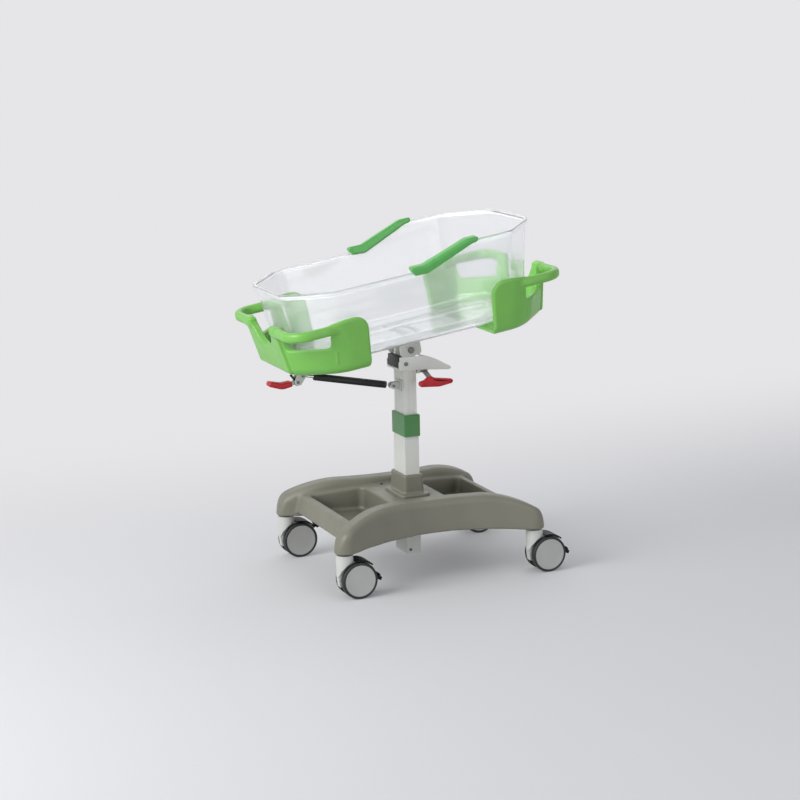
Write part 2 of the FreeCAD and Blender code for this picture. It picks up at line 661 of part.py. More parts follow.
def make_wheel_pair(label, profile):
    """Two equal rings on the axle: the profile gives (distance out, radius) about a wheel."""
    body = new_body(label)
    shapes = []
    for sign in ("-1", "1"):
        corners = [("%s * %s + (%s)" % (sign, WHEEL_SPREAD, y), radius) for y, radius in profile]
        shapes.append(corners)
    revolve(body, "YZ_Plane", shapes, "H_Axis")
    return body


def make_caster(side, side_sign, end, end_sign):
    """One swivelling twin-wheel caster with its brake pedal."""
    name = "%s_%s_caster_" % (side, end)
    stem_x = "column_x + %d * stem_x" % end_sign
    stem_y = "%d * stem_y" % side_sign
    axle_x = stem_x + " + caster_trail"

    tyre_profile = [
        ("-wheel_width / 2", "wheel_radius - tread_depth"),
        ("-wheel_width / 2", "wheel_radius"),
        ("wheel_width / 2", "wheel_radius"),
        ("wheel_width / 2", "wheel_radius - tread_depth"),
    ]
    hub_profile = [
        ("-wheel_width / 2 + hub_dish", "axle_radius"),
        ("-wheel_width / 2 + hub_dish", "wheel_radius - tread_depth"),
        ("wheel_width / 2 - hub_dish", "wheel_radius - tread_depth"),
        ("wheel_width / 2 - hub_dish", "axle_radius"),
    ]
    for piece, profile in (("tyres", tyre_profile), ("hubs", hub_profile)):
        body = make_wheel_pair(name + piece, profile)
        place(body, axle_x, stem_y, "wheel_radius")

    axle = new_body(name + "axle")
    axle_end = "wheel_gap / 2 + wheel_width - hub_dish + axle_proud"
    pad(axle, "XZ_Plane", [("0", "0", "axle_radius")], "-(%s)" % axle_end, axle_end)
    place(axle, axle_x, stem_y, "wheel_radius")

    make_housing(name, stem_x, stem_y)

    guard = new_body(name + "guard")
    inner = "wheel_radius + guard_gap"
    strip = box_outline("-guard_width / 2", "guard_width / 2", inner, inner + " + guard_thick")
    revolve(guard, "YZ_Plane", [strip], "H_Axis", "guard_sweep")
    place(guard, axle_x, stem_y, "wheel_radius", angle="90 - guard_start")

    make_pedal(name, axle_x, stem_y, (side, end) == RELEASED)


def make_housing(name, stem_x, stem_y):
    """The swivelling housing: a round front over the stem and a core between the wheels."""
    body = new_body(name + "housing")
    pad(body, "XY_Plane", [("0", "0", "housing_radius")], "housing_foot", "housing_top")
    clear = []
    for step in range(WHEEL_ARCH_STEPS + 1):
        angle = "arch_start - %d * arch_sweep / %d" % (step, WHEEL_ARCH_STEPS)
        half_step = "arch_sweep / %d" % (2 * WHEEL_ARCH_STEPS)
        radius = "(wheel_radius + guard_gap + guard_thick) / cos(%s)" % half_step
        across = "caster_trail + %s * cos(%s)" % (radius, angle)
        height = "wheel_radius + %s * sin(%s)" % (radius, angle)
        clear.append((across, height))
    clear.append(("stem_x", "wheel_radius + arch_rise"))
    clear.append(("stem_x", "0"))
    clear.append(("caster_trail - wheel_radius - guard_gap - guard_thick", "0"))
    pocket(body, "XZ_Plane", [clear], "-stem_y", "stem_y")
    core = ("caster_trail", "wheel_radius", "wheel_radius + guard_gap")
    pad(body, "XZ_Plane", [core], "-housing_core / 2", "housing_core / 2")
    neck = box_outline("-neck_front", "neck_back", "wheel_radius", "housing_top - neck_drop")
    pad(body, "XZ_Plane", [neck], "-housing_core / 2", "housing_core / 2")
    below = box_outline("-stem_x", "stem_x", "-wheel_radius", "core_foot")
    behind = box_outline("core_back", "stem_x", "-wheel_radius", "core_back_top")
    pocket(body, "XZ_Plane", [below], "-stem_y", "stem_y")
    pocket(body, "XZ_Plane", [behind], "-stem_y", "stem_y")
    stem_bore = ("0", "0", "stem_radius + run_gap")
    pocket(body, "XY_Plane", [stem_bore], "stem_foot - seat_gap", "housing_top + seat_gap")
    bore = ("caster_trail", "wheel_radius", "axle_radius + run_gap")
    pin = ("caster_trail + pedal_pin_x", "wheel_radius + pedal_pin_z", "pedal_pin_radius")
    pocket(body, "XZ_Plane", [bore, pin], "-stem_y", "stem_y")
    slot = box_outline("caster_trail + pedal_pin_x - slot_front", "stem_x",
                       "wheel_radius - slot_low", "wheel_radius + slot_high")
    pocket(body, "XZ_Plane", [slot], "-pedal_arm / 2 - seat_gap", "pedal_arm / 2 + seat_gap")
    place(body, stem_x, stem_y)
    return body


def make_pedal(name, axle_x, stem_y, released):
    """The brake pedal on its pin: an arm between the wheels and a tread plate behind them."""
    arm_half = "pedal_arm / 2"
    angle = "-pedal_up" if released else "pedal_down"
    body = new_body(name + "pedal")
    arm = box_outline("0", "pedal_reach - tread_end", "-pedal_thick / 2", "pedal_thick / 2")
    pad(body, "XZ_Plane", [arm], "-" + arm_half, arm_half)
    pad(body, "XZ_Plane", [("0", "0", "pedal_boss")], "-" + arm_half, arm_half)
    tread = box_outline("pedal_neck", "pedal_reach", "-pedal_thick / 2", "pedal_thick / 2 + tread_proud")
    pad(body, "XZ_Plane", [tread], "-pedal_width / 2", "pedal_width / 2")
    pin = ("0", "0", "pedal_pin_radius + run_gap")
    pocket(body, "XZ_Plane", [pin], "-pedal_width", "pedal_width")
    pin_x = axle_x + " + pedal_pin_x"
    pin_z = "wheel_radius + pedal_pin_z"
    place(body, pin_x, stem_y, pin_z, angle=angle)

    pin_body = new_body(name + "pedal_pin")
    pin_half = "housing_core / 2"
    pad(pin_body, "XZ_Plane", [("0", "0", "pedal_pin_radius")], "-" + pin_half, pin_half)
    place(pin_body, pin_x, stem_y, pin_z)


for side, side_sign in SIDES:
    for end, end_sign in ENDS:
        make_caster(side, side_sign, end, end_sign)

stems = new_body("caster_stems")
stem_sketch = []
collar_sketch = []
for side, side_sign in SIDES:
    for end, end_sign in ENDS:
        spot = ("%d * stem_x" % end_sign, "%d * stem_y" % side_sign)
        stem_sketch.append(spot + ("stem_radius",))
        collar_sketch.append(spot + ("stem_collar",))
pad(stems, "XY_Plane", stem_sketch, "stem_foot", "frame_foot_z + frame_bar")
pad(stems, "XY_Plane", collar_sketch, "housing_top + seat_gap", "frame_foot_z")
place(stems)


# ------------------------------------------------------------------ base cover and frame
ARM_HALF = value("base_half_length - arm_width / 2")
BOW = value("arm_bow")
ARM_RADIUS = (ARM_HALF ** 2 + BOW ** 2) / (2 * BOW)
ARM_MIDDLE = value("stem_y") - BOW
ARM_CENTRE = ARM_MIDDLE + ARM_RADIUS


def arm_line(x, outward=0.0):
    """Distance from the middle of the base to the arm's centre line, or a line beside it."""
    return ARM_CENTRE - math.sqrt((ARM_RADIUS - outward) ** 2 - x ** 2)


def arm_plan(inset):
    """The bowed arm from above: a band along an arc with a round end at each side."""
    half = value("arm_width") / 2 - inset
    centre = Vector(0, ARM_CENTRE, 0)
    end_right = Vector(ARM_HALF, value("stem_y"), 0)
    out_right = (centre - end_right).normalize()
    edges = []
    points = {}
    for sign in (-1, 1):
        spot = Vector(sign * end_right.x, end_right.y, 0)
        toward = Vector(sign * out_right.x, out_right.y, 0)
        along = Vector(-sign * -out_right.y, -out_right.x, 0)
        points[sign] = (spot - toward * half, spot + along * half, spot + toward * half)
    inner_middle = Vector(0, ARM_MIDDLE - half, 0)
    outer_middle = Vector(0, ARM_MIDDLE + half, 0)
    edges.append(Part.Arc(points[-1][0], inner_middle, points[1][0]).toShape())
    edges.append(Part.Arc(points[1][0], points[1][1], points[1][2]).toShape())
    edges.append(Part.Arc(points[1][2], outer_middle, points[-1][2]).toShape())
    edges.append(Part.Arc(points[-1][2], points[-1][1], points[-1][0]).toShape())
    return Part.Face(Part.Wire(edges))


def arm_profile(lowered, deeper):
    """The arm from the side: crown, falling shoulders, short upright tips, arched underside."""
    top = value("arm_top_z") - lowered
    crown = value("arm_crown")
    shoulder = (value("arm_shoulder_x"), value("arm_shoulder_z") - lowered)
    brow = (value("arm_brow_x"), value("arm_brow_z") - lowered)
    tip = (value("base_half_length"), value("arm_tip_z") - lowered)
    foot = value("arm_foot_z") - deeper
    arch = value("arm_arch_z") - deeper
    flat = value("base_half_length - arm_foot_length")
    bend = ((brow[0] + tip[0]) / 2 + value("nose_out"), (brow[1] + tip[1]) / 2 + value("nose_up"))

    def spot(sign, pair):
        return Vector(sign * pair[0], 0, pair[1])

    edges = [Part.makeLine(spot(-1, (crown, top)), spot(1, (crown, top)))]
    edges.append(Part.Arc(spot(1, (crown, top)), spot(1, shoulder), spot(1, brow)).toShape())
    edges.append(Part.Arc(spot(1, brow), spot(1, bend), spot(1, tip)).toShape())
    edges.append(Part.makeLine(spot(1, tip), spot(1, (tip[0], foot))))
    edges.append(Part.makeLine(spot(1, (tip[0], foot)), spot(1, (flat, foot))))
    edges.append(Part.Arc(spot(1, (flat, foot)), Vector(0, 0, arch), spot(-1, (flat, foot))).toShape())
    edges.append(Part.makeLine(spot(-1, (flat, foot)), spot(-1, (tip[0], foot))))
    edges.append(Part.makeLine(spot(-1, (tip[0], foot)), spot(-1, tip)))
    edges.append(Part.Arc(spot(-1, tip), spot(-1, bend), spot(-1, brow)).toShape())
    edges.append(Part.Arc(spot(-1, brow), spot(-1, shoulder), spot(-1, (crown, top))).toShape())
    return Part.Face(Part.Wire(edges))


def make_arm(inset, deeper):
    """One arm of the base, solid: its plan and its side view together."""
    plan = arm_plan(inset).extrude(Vector(0, 0, value("arm_top_z") * 2))
    profile = arm_profile(inset, deeper)
    block = profile.extrude(Vector(0, value("stem_y") * 2, 0))
    return plan.common(block)


def tray_plan():
    """The tray from above, out to the centre lines of both arms."""
    half = value("tray_foot_half")
    side = arm_line(half)
    corners = [
        Vector(-half, -side, 0),
        Vector(half, -side, 0),
        Vector(half, side, 0),
        Vector(-half, side, 0),
    ]
    near = Part.Arc(corners[0], Vector(0, -ARM_MIDDLE, 0), corners[1]).toShape()
    right = Part.makeLine(corners[1], corners[2])
    far = Part.Arc(corners[2], Vector(0, ARM_MIDDLE, 0), corners[3]).toShape()
    left = Part.makeLine(corners[3], corners[0])
    return Part.Face(Part.Wire([near, right, far, left]))


def make_tray(inset, deeper):
    """The body between the arms, solid, with its gently falling top."""
    top = value("tray_top_z") - inset
    end_top = value("tray_end_z") - inset
    flat = value("tray_flat")
    half = value("tray_half_length") - inset
    foot_half = value("tray_foot_half") - inset
    foot = value("tray_foot_z") - deeper
    middle = ((flat + half) / 2, (top + end_top) / 2 + (top - end_top) * value("tray_bulge"))
    low = -value("stem_y")
    edges = []
    right_start = Vector(flat, low, top)
    right_end = Vector(half, low, end_top)
    left_start = Vector(-flat, low, top)
    left_end = Vector(-half, low, end_top)
    edges.append(Part.makeLine(left_start, right_start))
    edges.append(Part.Arc(right_start, Vector(middle[0], low, middle[1]), right_end).toShape())
    edges.append(Part.makeLine(right_end, Vector(foot_half, low, foot)))
    edges.append(Part.makeLine(Vector(foot_half, low, foot), Vector(-foot_half, low, foot)))
    edges.append(Part.makeLine(Vector(-foot_half, low, foot), left_end))
    edges.append(Part.Arc(left_end, Vector(-middle[0], low, middle[1]), left_start).toShape())
    profile = Part.Face(Part.Wire(edges)).extrude(Vector(0, -2 * low, 0))
    plan = tray_plan().extrude(Vector(0, 0, value("arm_top_z") * 2))
    return plan.common(profile)


def make_well(sign, outset, floor):
    """A storage well of the tray, as the solid that fills it."""
    near = value("well_near_x") - outset
    far = value("well_far_x") + outset
    beside = value("arm_width") / 2 + value("well_side_gap") - outset
    near_half = arm_line(near) - beside
    far_half = arm_line(far) - beside
    corners = [(near, -near_half), (far, -far_half), (far, far_half), (near, near_half)]
    radius = value("well_corner") + outset
    block = plate(corners, [radius] * len(corners), floor, value("tray_top_z"))
    if sign < 0:
        block.rotate(Vector(0, 0, 0), Vector(0, 0, 1), 180)
    return block


wall = value("cover_wall")
far_arm = make_arm(0, 0)
crest_edges = []
for edge in far_arm.Edges:
    box = edge.BoundBox
    if box.ZMin > value("arm_tip_z") - TOUCH and box.XLength > TOUCH:
        if box.YLength < value("arm_width") - LEEWAY or box.XLength > value("arm_width") * 2:
            crest_edges.append(edge)
far_arm = far_arm.makeChamfer(value("arm_edge"), crest_edges)
arms_outside = far_arm.fuse(mirrored(far_arm, Vector(0, 1, 0)))
inner_arm = make_arm(wall, value("arm_foot_z"))
arms_inside = inner_arm.fuse(mirrored(inner_arm, Vector(0, 1, 0)))
outside = arms_outside.fuse(make_tray(0, 0))
inside = arms_inside.fuse(make_tray(wall, value("tray_foot_z")))
cover = outside.cut(inside)
for sign in (-1, 1):
    filled = make_well(sign, wall, value("well_floor_z") - wall)
    cover = cover.fuse(filled.common(make_tray(0, 0)))
for sign in (-1, 1):
    cover = cover.cut(make_well(sign, 0, value("well_floor_z")))
hole_corner = Vector(value("-tube_x / 2 - cover_hole_gap"), value("-tube_y / 2 - cover_hole_gap"), 0)
column_hole = Part.makeBox(value("tube_x + 2 * cover_hole_gap"), value("tube_y + 2 * cover_hole_gap"),
                           REACH, hole_corner)
cover = cover.cut(column_hole)
base_cover = set_shape("base_cover", cover)
place(base_cover)

base_frame = new_body("base_frame")
FRAME_TOP = "frame_foot_z + frame_bar"
cross_far = "frame_cross_x + frame_cross_width"
BAR_STEPS = 4                   # straight lengths of each side bar, which follows its arm
bar_first = value("frame_cross_x - frame_lap")
bar_last = value("base_half_length - frame_inset")
bar_half = value("frame_bar") / 2
for side, side_sign in SIDES:
    for end, end_sign in ENDS:
        line = []
        for step in range(BAR_STEPS + 1):
            along = bar_first + (bar_last - bar_first) * step / BAR_STEPS
            across = min(arm_line(along), value("stem_y + frame_stray"))
            line.append((end_sign * along, side_sign * across))
        corners = [(repr(x), repr(y - bar_half)) for x, y in line]
        corners += [(repr(x), repr(y + bar_half)) for x, y in reversed(line)]
        pad(base_frame, "XY_Plane", [corners], "frame_foot_z", FRAME_TOP)
for end, end_sign in ENDS:
    cross = box_outline("%d * frame_cross_x" % end_sign, "%d * (%s)" % (end_sign, cross_far),
                        "-stem_y + arm_bow", "stem_y - arm_bow")
    pad(base_frame, "XY_Plane", [cross], "frame_foot_z", FRAME_TOP)
socket = centred("2 * frame_cross_x", "tube_y + 2 * socket_wall")
pad(base_frame, "XY_Plane", [socket], "frame_foot_z", "socket_top_z")
pocket(base_frame, "XY_Plane", [centred("tube_x", "tube_y")], "tube_foot_z", "tube_head_z")
stem_holes = []
for side, side_sign in SIDES:
    for end, end_sign in ENDS:
        stem_holes.append(("%d * stem_x" % end_sign, "%d * stem_y" % side_sign, "stem_radius"))
pocket(base_frame, "XY_Plane", stem_holes, "tube_foot_z", "tube_head_z")
place(base_frame)

screws = new_body("base_screws")
heads = []
for side, side_sign in SIDES:
    for end, end_sign in ENDS:
        spot = ("%d * cover_screw_x" % end_sign, "%d * cover_screw_y" % side_sign)
        heads.append(spot + ("screw_radius",))
pad(screws, "XY_Plane", heads, "tray_top_z", "tray_top_z + screw_height")
foot_head = [("-foot_screw_x", "tube_foot_z + foot_screw_rise", "screw_radius")]
pad(screws, "XZ_Plane", foot_head, "-tube_y / 2 - screw_height", "-tube_y / 2")
place(screws)


# ------------------------------------------------------------------ column
def upright(edge):
    """True for an edge that runs along Z."""
    return runs_along(edge, "Z")


outer_tube = new_body("outer_tube")
pad(outer_tube, "XY_Plane", [centred("tube_x", "tube_y")], "tube_foot_z", "tube_head_z")
pocket(outer_tube, "XY_Plane", [centred("tube_x - 2 * tube_wall", "tube_y - 2 * tube_wall")],
       "tube_foot_z + tube_floor", "tube_head_z + tube_floor")
place(outer_tube)


def boot_rim(edge):
    """True for an edge round the boot's top or round the top of its flange."""
    box = edge.BoundBox
    beyond_x = max(abs(box.XMax), abs(box.XMin)) > value("boot_x / 2") + LEEWAY
    beyond_y = max(abs(box.YMax), abs(box.YMin)) > value("boot_y / 2") + LEEWAY
    on_flange = lies_at(edge, "Z", value("tray_top_z + flange_thick"))
    return lies_at(edge, "Z", value("boot_head_z")) or (on_flange and beyond_x and beyond_y)


boot = new_body("column_boot")
pad(boot, "XY_Plane", [centred("boot_x", "boot_y")], "tray_top_z", "boot_head_z")
pad(boot, "XY_Plane", [centred("flange_x", "flange_y")], "tray_top_z", "tray_top_z + flange_thick")
round_edges(boot, "boot_corner", upright)
bevel_edges(boot, "boot_bevel", boot_rim)
pocket(boot, "XY_Plane", [centred("tube_x", "tube_y")], "tube_foot_z", "tube_head_z")
place(boot)

INNER_X = "(tube_x - 2 * (tube_wall + bush_wall + slide_gap))"
INNER_Y = "(tube_y - 2 * (tube_wall + bush_wall + slide_gap))"
bush = new_body("guide_bush")
pad(bush, "XY_Plane", [centred("tube_x - 2 * tube_wall", "tube_y - 2 * tube_wall"),
                       centred(INNER_X + " + 2 * slide_gap", INNER_Y + " + 2 * slide_gap")],
    "tube_head_z - bush_length", "tube_head_z")
place(bush)

collar = new_body("collar")
pad(collar, "XY_Plane", [centred("collar_x", "collar_y")], "collar_foot_z", "collar_head_z")
round_edges(collar, "collar_edge", upright)
bevel_edges(collar, "collar_edge / 2", lambda edge: lies_at(edge, "Z", value("collar_head_z")))
pocket(collar, "XY_Plane", [centred("tube_x", "tube_y")], "tube_foot_z", "tube_head_z")
pocket(collar, "XY_Plane", [centred(INNER_X + " + 2 * collar_gap", INNER_Y + " + 2 * collar_gap")],
       "tube_foot_z", "head_foot_z")
place(collar)

spring_foot = "tube_foot_z + tube_floor"
lift_cylinder = new_body("lift_cylinder")
revolve(lift_cylinder, "XZ_Plane", [[
    ("0", spring_foot),
    ("spring_radius", spring_foot),
    ("spring_radius", "spring_head_z"),
    ("spring_rod + run_gap", "spring_head_z"),
    ("spring_rod + run_gap", "spring_head_z - spring_gland"),
    ("spring_bore", "spring_head_z - spring_gland"),
    ("spring_bore", spring_foot + " + tube_floor"),
    ("0", spring_foot + " + tube_floor"),
]], "V_Axis")
place(lift_cylinder)

lift_rod = new_body("lift_rod")
revolve(lift_rod, "XZ_Plane", [[
    ("0", "piston_z"),
    ("spring_bore - piston_gap", "piston_z"),
    ("spring_bore - piston_gap", "piston_z + piston_length"),
    ("spring_rod", "piston_z + piston_length"),
    ("spring_rod", "head_seat_z"),
    ("0", "head_seat_z"),
]], "V_Axis")
place(lift_rod)

inner_tube = new_body("inner_tube")
pad(inner_tube, "XY_Plane", [centred(INNER_X, INNER_Y)], "inner_foot_z", "head_seat_z")
BROAD_FACE_GROOVES = (-2, -1, 0, 1, 2)      # in pitches from the face's middle
NARROW_FACE_GROOVES = (-1, 1)               # in half pitches from the face's middle
grooves = []
for index in BROAD_FACE_GROOVES:
    for sign in ("-1", "1"):
        face = "%s * %s / 2" % (sign, INNER_X)
        inner = "%s * (%s / 2 - groove_depth)" % (sign, INNER_X)
        low = "%d * groove_pitch - groove_width / 2" % index
        high = "%d * groove_pitch + groove_width / 2" % index
        grooves.append(box_outline(inner, face, low, high))
for index in NARROW_FACE_GROOVES:
    for sign in ("-1", "1"):
        face = "%s * %s / 2" % (sign, INNER_Y)
        inner = "%s * (%s / 2 - groove_depth)" % (sign, INNER_Y)
        low = "%d * groove_pitch / 2 - groove_width / 2" % index
        high = "%d * groove_pitch / 2 + groove_width / 2" % index
        grooves.append(box_outline(low, high, inner, face))
pocket(inner_tube, "XY_Plane", grooves, "tube_foot_z", "pivot_z")
pocket(inner_tube, "XY_Plane", [centred(INNER_X + " - 2 * inner_wall", INNER_Y + " - 2 * inner_wall")],
       "tube_foot_z", "pivot_z")
place(inner_tube)

# ------------------------------------------------------------------ column head
column_head = new_body("column_head")
pad(column_head, "XY_Plane", [box_outline("-head_back", "head_front", "-head_half_y", "head_half_y")],
    "head_foot_z", "head_deck_z")
round_edges(column_head, "head_edge", upright)
bevel_edges(column_head, "head_edge / 2", lambda edge: lies_at(edge, "Z", value("head_deck_z")))
open_back = box_outline("-head_back - head_side", "-%s / 2" % INNER_X,
                        "-head_half_y + head_side", "head_half_y - head_side")
pocket(column_head, "XY_Plane", [open_back], "head_foot_z + head_side", "pivot_z")
lever_block = box_outline("head_front - lever_lug", "head_front",
                          "-lever_pin_y - lever_boss", "-lever_pin_y + lever_boss")
pad(column_head, "XY_Plane", [lever_block], "lever_pin_z - lever_boss", "head_foot_z + lug_sink")
lug_low = "lug_outer - lug_thick"
for low, high in (("-lug_outer", "-(%s)" % lug_low), (lug_low, "lug_outer")):
    post = box_outline("-lug_radius", "lug_radius", "head_deck_z - lug_sink", "pivot_z")
    pad(column_head, "XZ_Plane", [post], low, high)
    pad(column_head, "XZ_Plane", [("0", "pivot_z", "lug_radius")], low, high)
pocket(column_head, "XZ_Plane", [("0", "pivot_z", "pivot_radius + run_gap")], "-stem_y", "stem_y")
pocket(column_head, "XY_Plane", [centred(INNER_X, INNER_Y)], "head_foot_z - seat_gap", "head_seat_z")
pin = ("-lever_pin_y", "lever_pin_z", "lever_pin_radius")
pad(column_head, "YZ_Plane", [pin], "head_front", "head_front + lever_pin_length")
place(column_head)

guard = new_body("lever_guard")
blade = [
    ("-head_back", "guard_top_z"),
    ("-head_back + guard_slant", "guard_low_z"),
    ("head_front", "guard_low_z - guard_fall"),
    ("guard_tip_x", "guard_tip_low"),
    ("guard_tip_x", "guard_tip_z"),
    ("guard_knee_x", "guard_knee_z"),
    ("head_front", "guard_top_z"),
]
pad(guard, "XZ_Plane", [blade], "-head_half_y - guard_sheet", "-head_half_y")
hood = [
    ("guard_tip_x", "guard_tip_z"),
    ("guard_knee_x", "guard_knee_z"),
    ("head_front", "guard_top_z"),
    ("head_front", "guard_top_z - guard_sheet"),
    ("guard_knee_x", "guard_knee_z - guard_sheet"),
    ("guard_tip_x", "guard_tip_z - guard_sheet"),
]
pad(guard, "XZ_Plane", [hood], "-head_half_y - guard_sheet", "-head_half_y + hood_depth")
tip_edge = box_outline("guard_tip_x - guard_sheet", "guard_tip_x", "guard_tip_low", "guard_tip_z")
pad(guard, "XZ_Plane", [tip_edge], "-head_half_y - guard_sheet", "-head_half_y + hood_depth")
place(guard)

head_screw = new_body("head_screw")
head_screw_circle = ("-head_screw_x", "head_deck_z - head_screw_drop", "head_screw_radius")
pad(head_screw, "XZ_Plane", [head_screw_circle],
    "-head_half_y - guard_sheet - screw_height", "-head_half_y - guard_sheet")
place(head_screw)

strut_bracket = new_body("strut_bracket")
tube_face = "-%s / 2" % INNER_X
pad(strut_bracket, "XY_Plane", [box_outline(tube_face + " - bracket_plate", tube_face,
                                            "-bracket_half_y", "bracket_half_y")],
    "strut_pin_z - bracket_below", "strut_pin_z + bracket_above")
for sign in (-1, 1):
    near_face = "clevis_gap / 2"
    far_face = "clevis_gap / 2 + ear_thick"
    low, high = (near_face, far_face) if sign > 0 else ("-(%s)" % far_face, "-" + near_face)
    ear = box_outline("-strut_pin_x", tube_face + " - bracket_plate",
                      "strut_pin_z - ear_radius", "strut_pin_z + ear_radius")
    pad(strut_bracket, "XZ_Plane", [ear], low, high)
    pad(strut_bracket, "XZ_Plane", [("-strut_pin_x", "strut_pin_z", "ear_radius")], low, high)
pocket(strut_bracket, "XZ_Plane", [("-strut_pin_x", "strut_pin_z", "strut_pin_radius")], "-stem_y", "stem_y")
place(strut_bracket)

PIN_HALF = "(clevis_gap / 2 + ear_thick + pin_proud)"
strut_pin = new_body("strut_pin")
pad(strut_pin, "XZ_Plane", [("0", "0", "strut_pin_radius")], "-" + PIN_HALF, PIN_HALF)
place(strut_pin, "column_x - strut_pin_x", "0", "strut_pin_z")

# ------------------------------------------------------------------ tilt strut
tilt = math.radians(value("tilt_rest"))
far_pin_x = -value("clevis_reach") * math.cos(tilt) + value("clevis_drop") * math.sin(tilt)
far_pin_z = value("pivot_z") - value("clevis_reach") * math.sin(tilt) - value("clevis_drop") * math.cos(tilt)
span_x = far_pin_x + value("strut_pin_x")
span_z = far_pin_z - value("strut_pin_z")
strut_length = math.hypot(span_x, span_z)
strut_turn = math.degrees(math.atan2(-span_z, span_x))
EYE_HALF = "(clevis_gap / 2 - seat_gap)"
NECK_HALF = "(clevis_gap / 2 - seat_gap - neck_inset)"

strut_cylinder = new_body("strut_cylinder")
revolve(strut_cylinder, "XY_Plane", [[
    ("strut_start", "0"),
    ("strut_start", "strut_radius"),
    ("strut_end", "strut_radius"),
    ("strut_end", "strut_rod_radius + run_gap"),
    ("strut_end - strut_gland", "strut_rod_radius + run_gap"),
    ("strut_end - strut_gland", "strut_bore"),
    ("strut_start + strut_gland", "strut_bore"),
    ("strut_start + strut_gland", "0"),
]], "H_Axis")
pad(strut_cylinder, "XZ_Plane", [("0", "0", "strut_eye")], "-" + EYE_HALF, EYE_HALF)
neck = box_outline("0", "strut_start + neck_lap", "-strut_neck", "strut_neck")
pad(strut_cylinder, "XZ_Plane", [neck], "-" + NECK_HALF, NECK_HALF)
pocket(strut_cylinder, "XZ_Plane", [("0", "0", "strut_pin_radius + run_gap")], "-stem_y", "stem_y")
place(strut_cylinder, "column_x - strut_pin_x", "0", "strut_pin_z", angle=repr(strut_turn))

strut_rod = new_body("strut_rod")
revolve(strut_rod, "XY_Plane", [[
    ("strut_piston", "0"),
    ("strut_piston", "strut_bore - piston_gap"),
    ("strut_piston + piston_length", "strut_bore - piston_gap"),
    ("strut_piston + piston_length", "strut_rod_radius"),
    (repr(strut_length), "strut_rod_radius"),
    (repr(strut_length), "0"),
]], "H_Axis")
far_eye = (repr(strut_length), "0", "strut_far_eye")
pad(strut_rod, "XZ_Plane", [far_eye], "-" + NECK_HALF, NECK_HALF)
open_eye = (repr(strut_length), "0", "strut_pin_radius + strut_eye_gap")
pocket(strut_rod, "XZ_Plane", [open_eye], "-stem_y", "stem_y")
place(strut_rod, "column_x - strut_pin_x", "0", "strut_pin_z", angle=repr(strut_turn))

# ------------------------------------------------------------------ carrier
carrier = new_body("carrier_frame")
RAIL_TOP = "rail_foot + rail_height"
INNER_RAIL = "rail_y - rail_width / 2"
for side, side_sign in SIDES:
    centre = "%d * rail_y" % side_sign
    outer = box_outline(centre + " - rail_width / 2", centre + " + rail_width / 2", "rail_foot", RAIL_TOP)
    hollow = box_outline(centre + " - rail_width / 2 + rail_wall", centre + " + rail_width / 2 - rail_wall",
                         "rail_foot + rail_wall", RAIL_TOP + " - rail_wall")
    pad(carrier, "YZ_Plane", [outer, hollow], "-rail_half_length", "rail_half_length")
saddle_cross = "saddle_half_x - cross_width / 2"
for distance in ("-cross_outer", "-cross_middle", "-(%s)" % saddle_cross, saddle_cross,
                 "cross_middle", "cross_outer"):
    cross = box_outline(distance + " - cross_width / 2", distance + " + cross_width / 2",
                        "-(%s)" % INNER_RAIL, INNER_RAIL)
    pad(carrier, "XY_Plane", [cross], "rail_foot", RAIL_TOP)
pad(carrier, "XY_Plane", [centred("2 * saddle_half_x", "2 * saddle_outer")],
    "rail_foot - saddle_sheet", "rail_foot")
cheek = [
    ("-saddle_half_x", "rail_foot"),
    ("-saddle_half_x", "-saddle_drop + saddle_cut"),
    ("-saddle_half_x + saddle_cut", "-saddle_drop"),
    ("saddle_half_x - saddle_cut", "-saddle_drop"),
    ("saddle_half_x", "-saddle_drop + saddle_cut"),
    ("saddle_half_x", "rail_foot"),
]
for low, high in (("-saddle_outer", "-saddle_outer + saddle_sheet"),
                  ("saddle_outer - saddle_sheet", "saddle_outer")):
    pad(carrier, "XZ_Plane", [cheek], low, high)
clevis = [
    ("-cross_outer + cross_width / 2", "rail_foot"),
    ("-clevis_reach + ear_radius + clevis_flare", "-clevis_drop"),
    ("-clevis_reach + clevis_toe", "-clevis_drop - ear_radius - clevis_cut"),
    ("-tilt_lever_pin + ear_radius - clevis_cut", "-tilt_lever_drop - ear_radius"),
    ("-tilt_lever_pin - ear_radius + clevis_cut", "-tilt_lever_drop - ear_radius"),
    ("-tilt_lever_pin - ear_radius", "-tilt_lever_drop + clevis_flare"),
    ("-clevis_reach - ear_radius - clevis_flare", "-clevis_drop + clevis_brow"),
    ("-cross_outer - cross_width / 2", "rail_foot"),
]
for sign in (-1, 1):
    near_face = "clevis_gap / 2"
    far_face = "clevis_gap / 2 + ear_thick"
    low, high = (near_face, far_face) if sign > 0 else ("-(%s)" % far_face, "-" + near_face)
    pad(carrier, "XZ_Plane", [clevis], low, high)
pocket(carrier, "XZ_Plane", [
    ("0", "0", "pivot_radius"),
    ("-clevis_reach", "-clevis_drop", "strut_pin_radius"),
    ("-tilt_lever_pin", "-tilt_lever_drop", "strut_pin_radius"),
], "-stem_y", "stem_y")
place_on_tub(carrier)

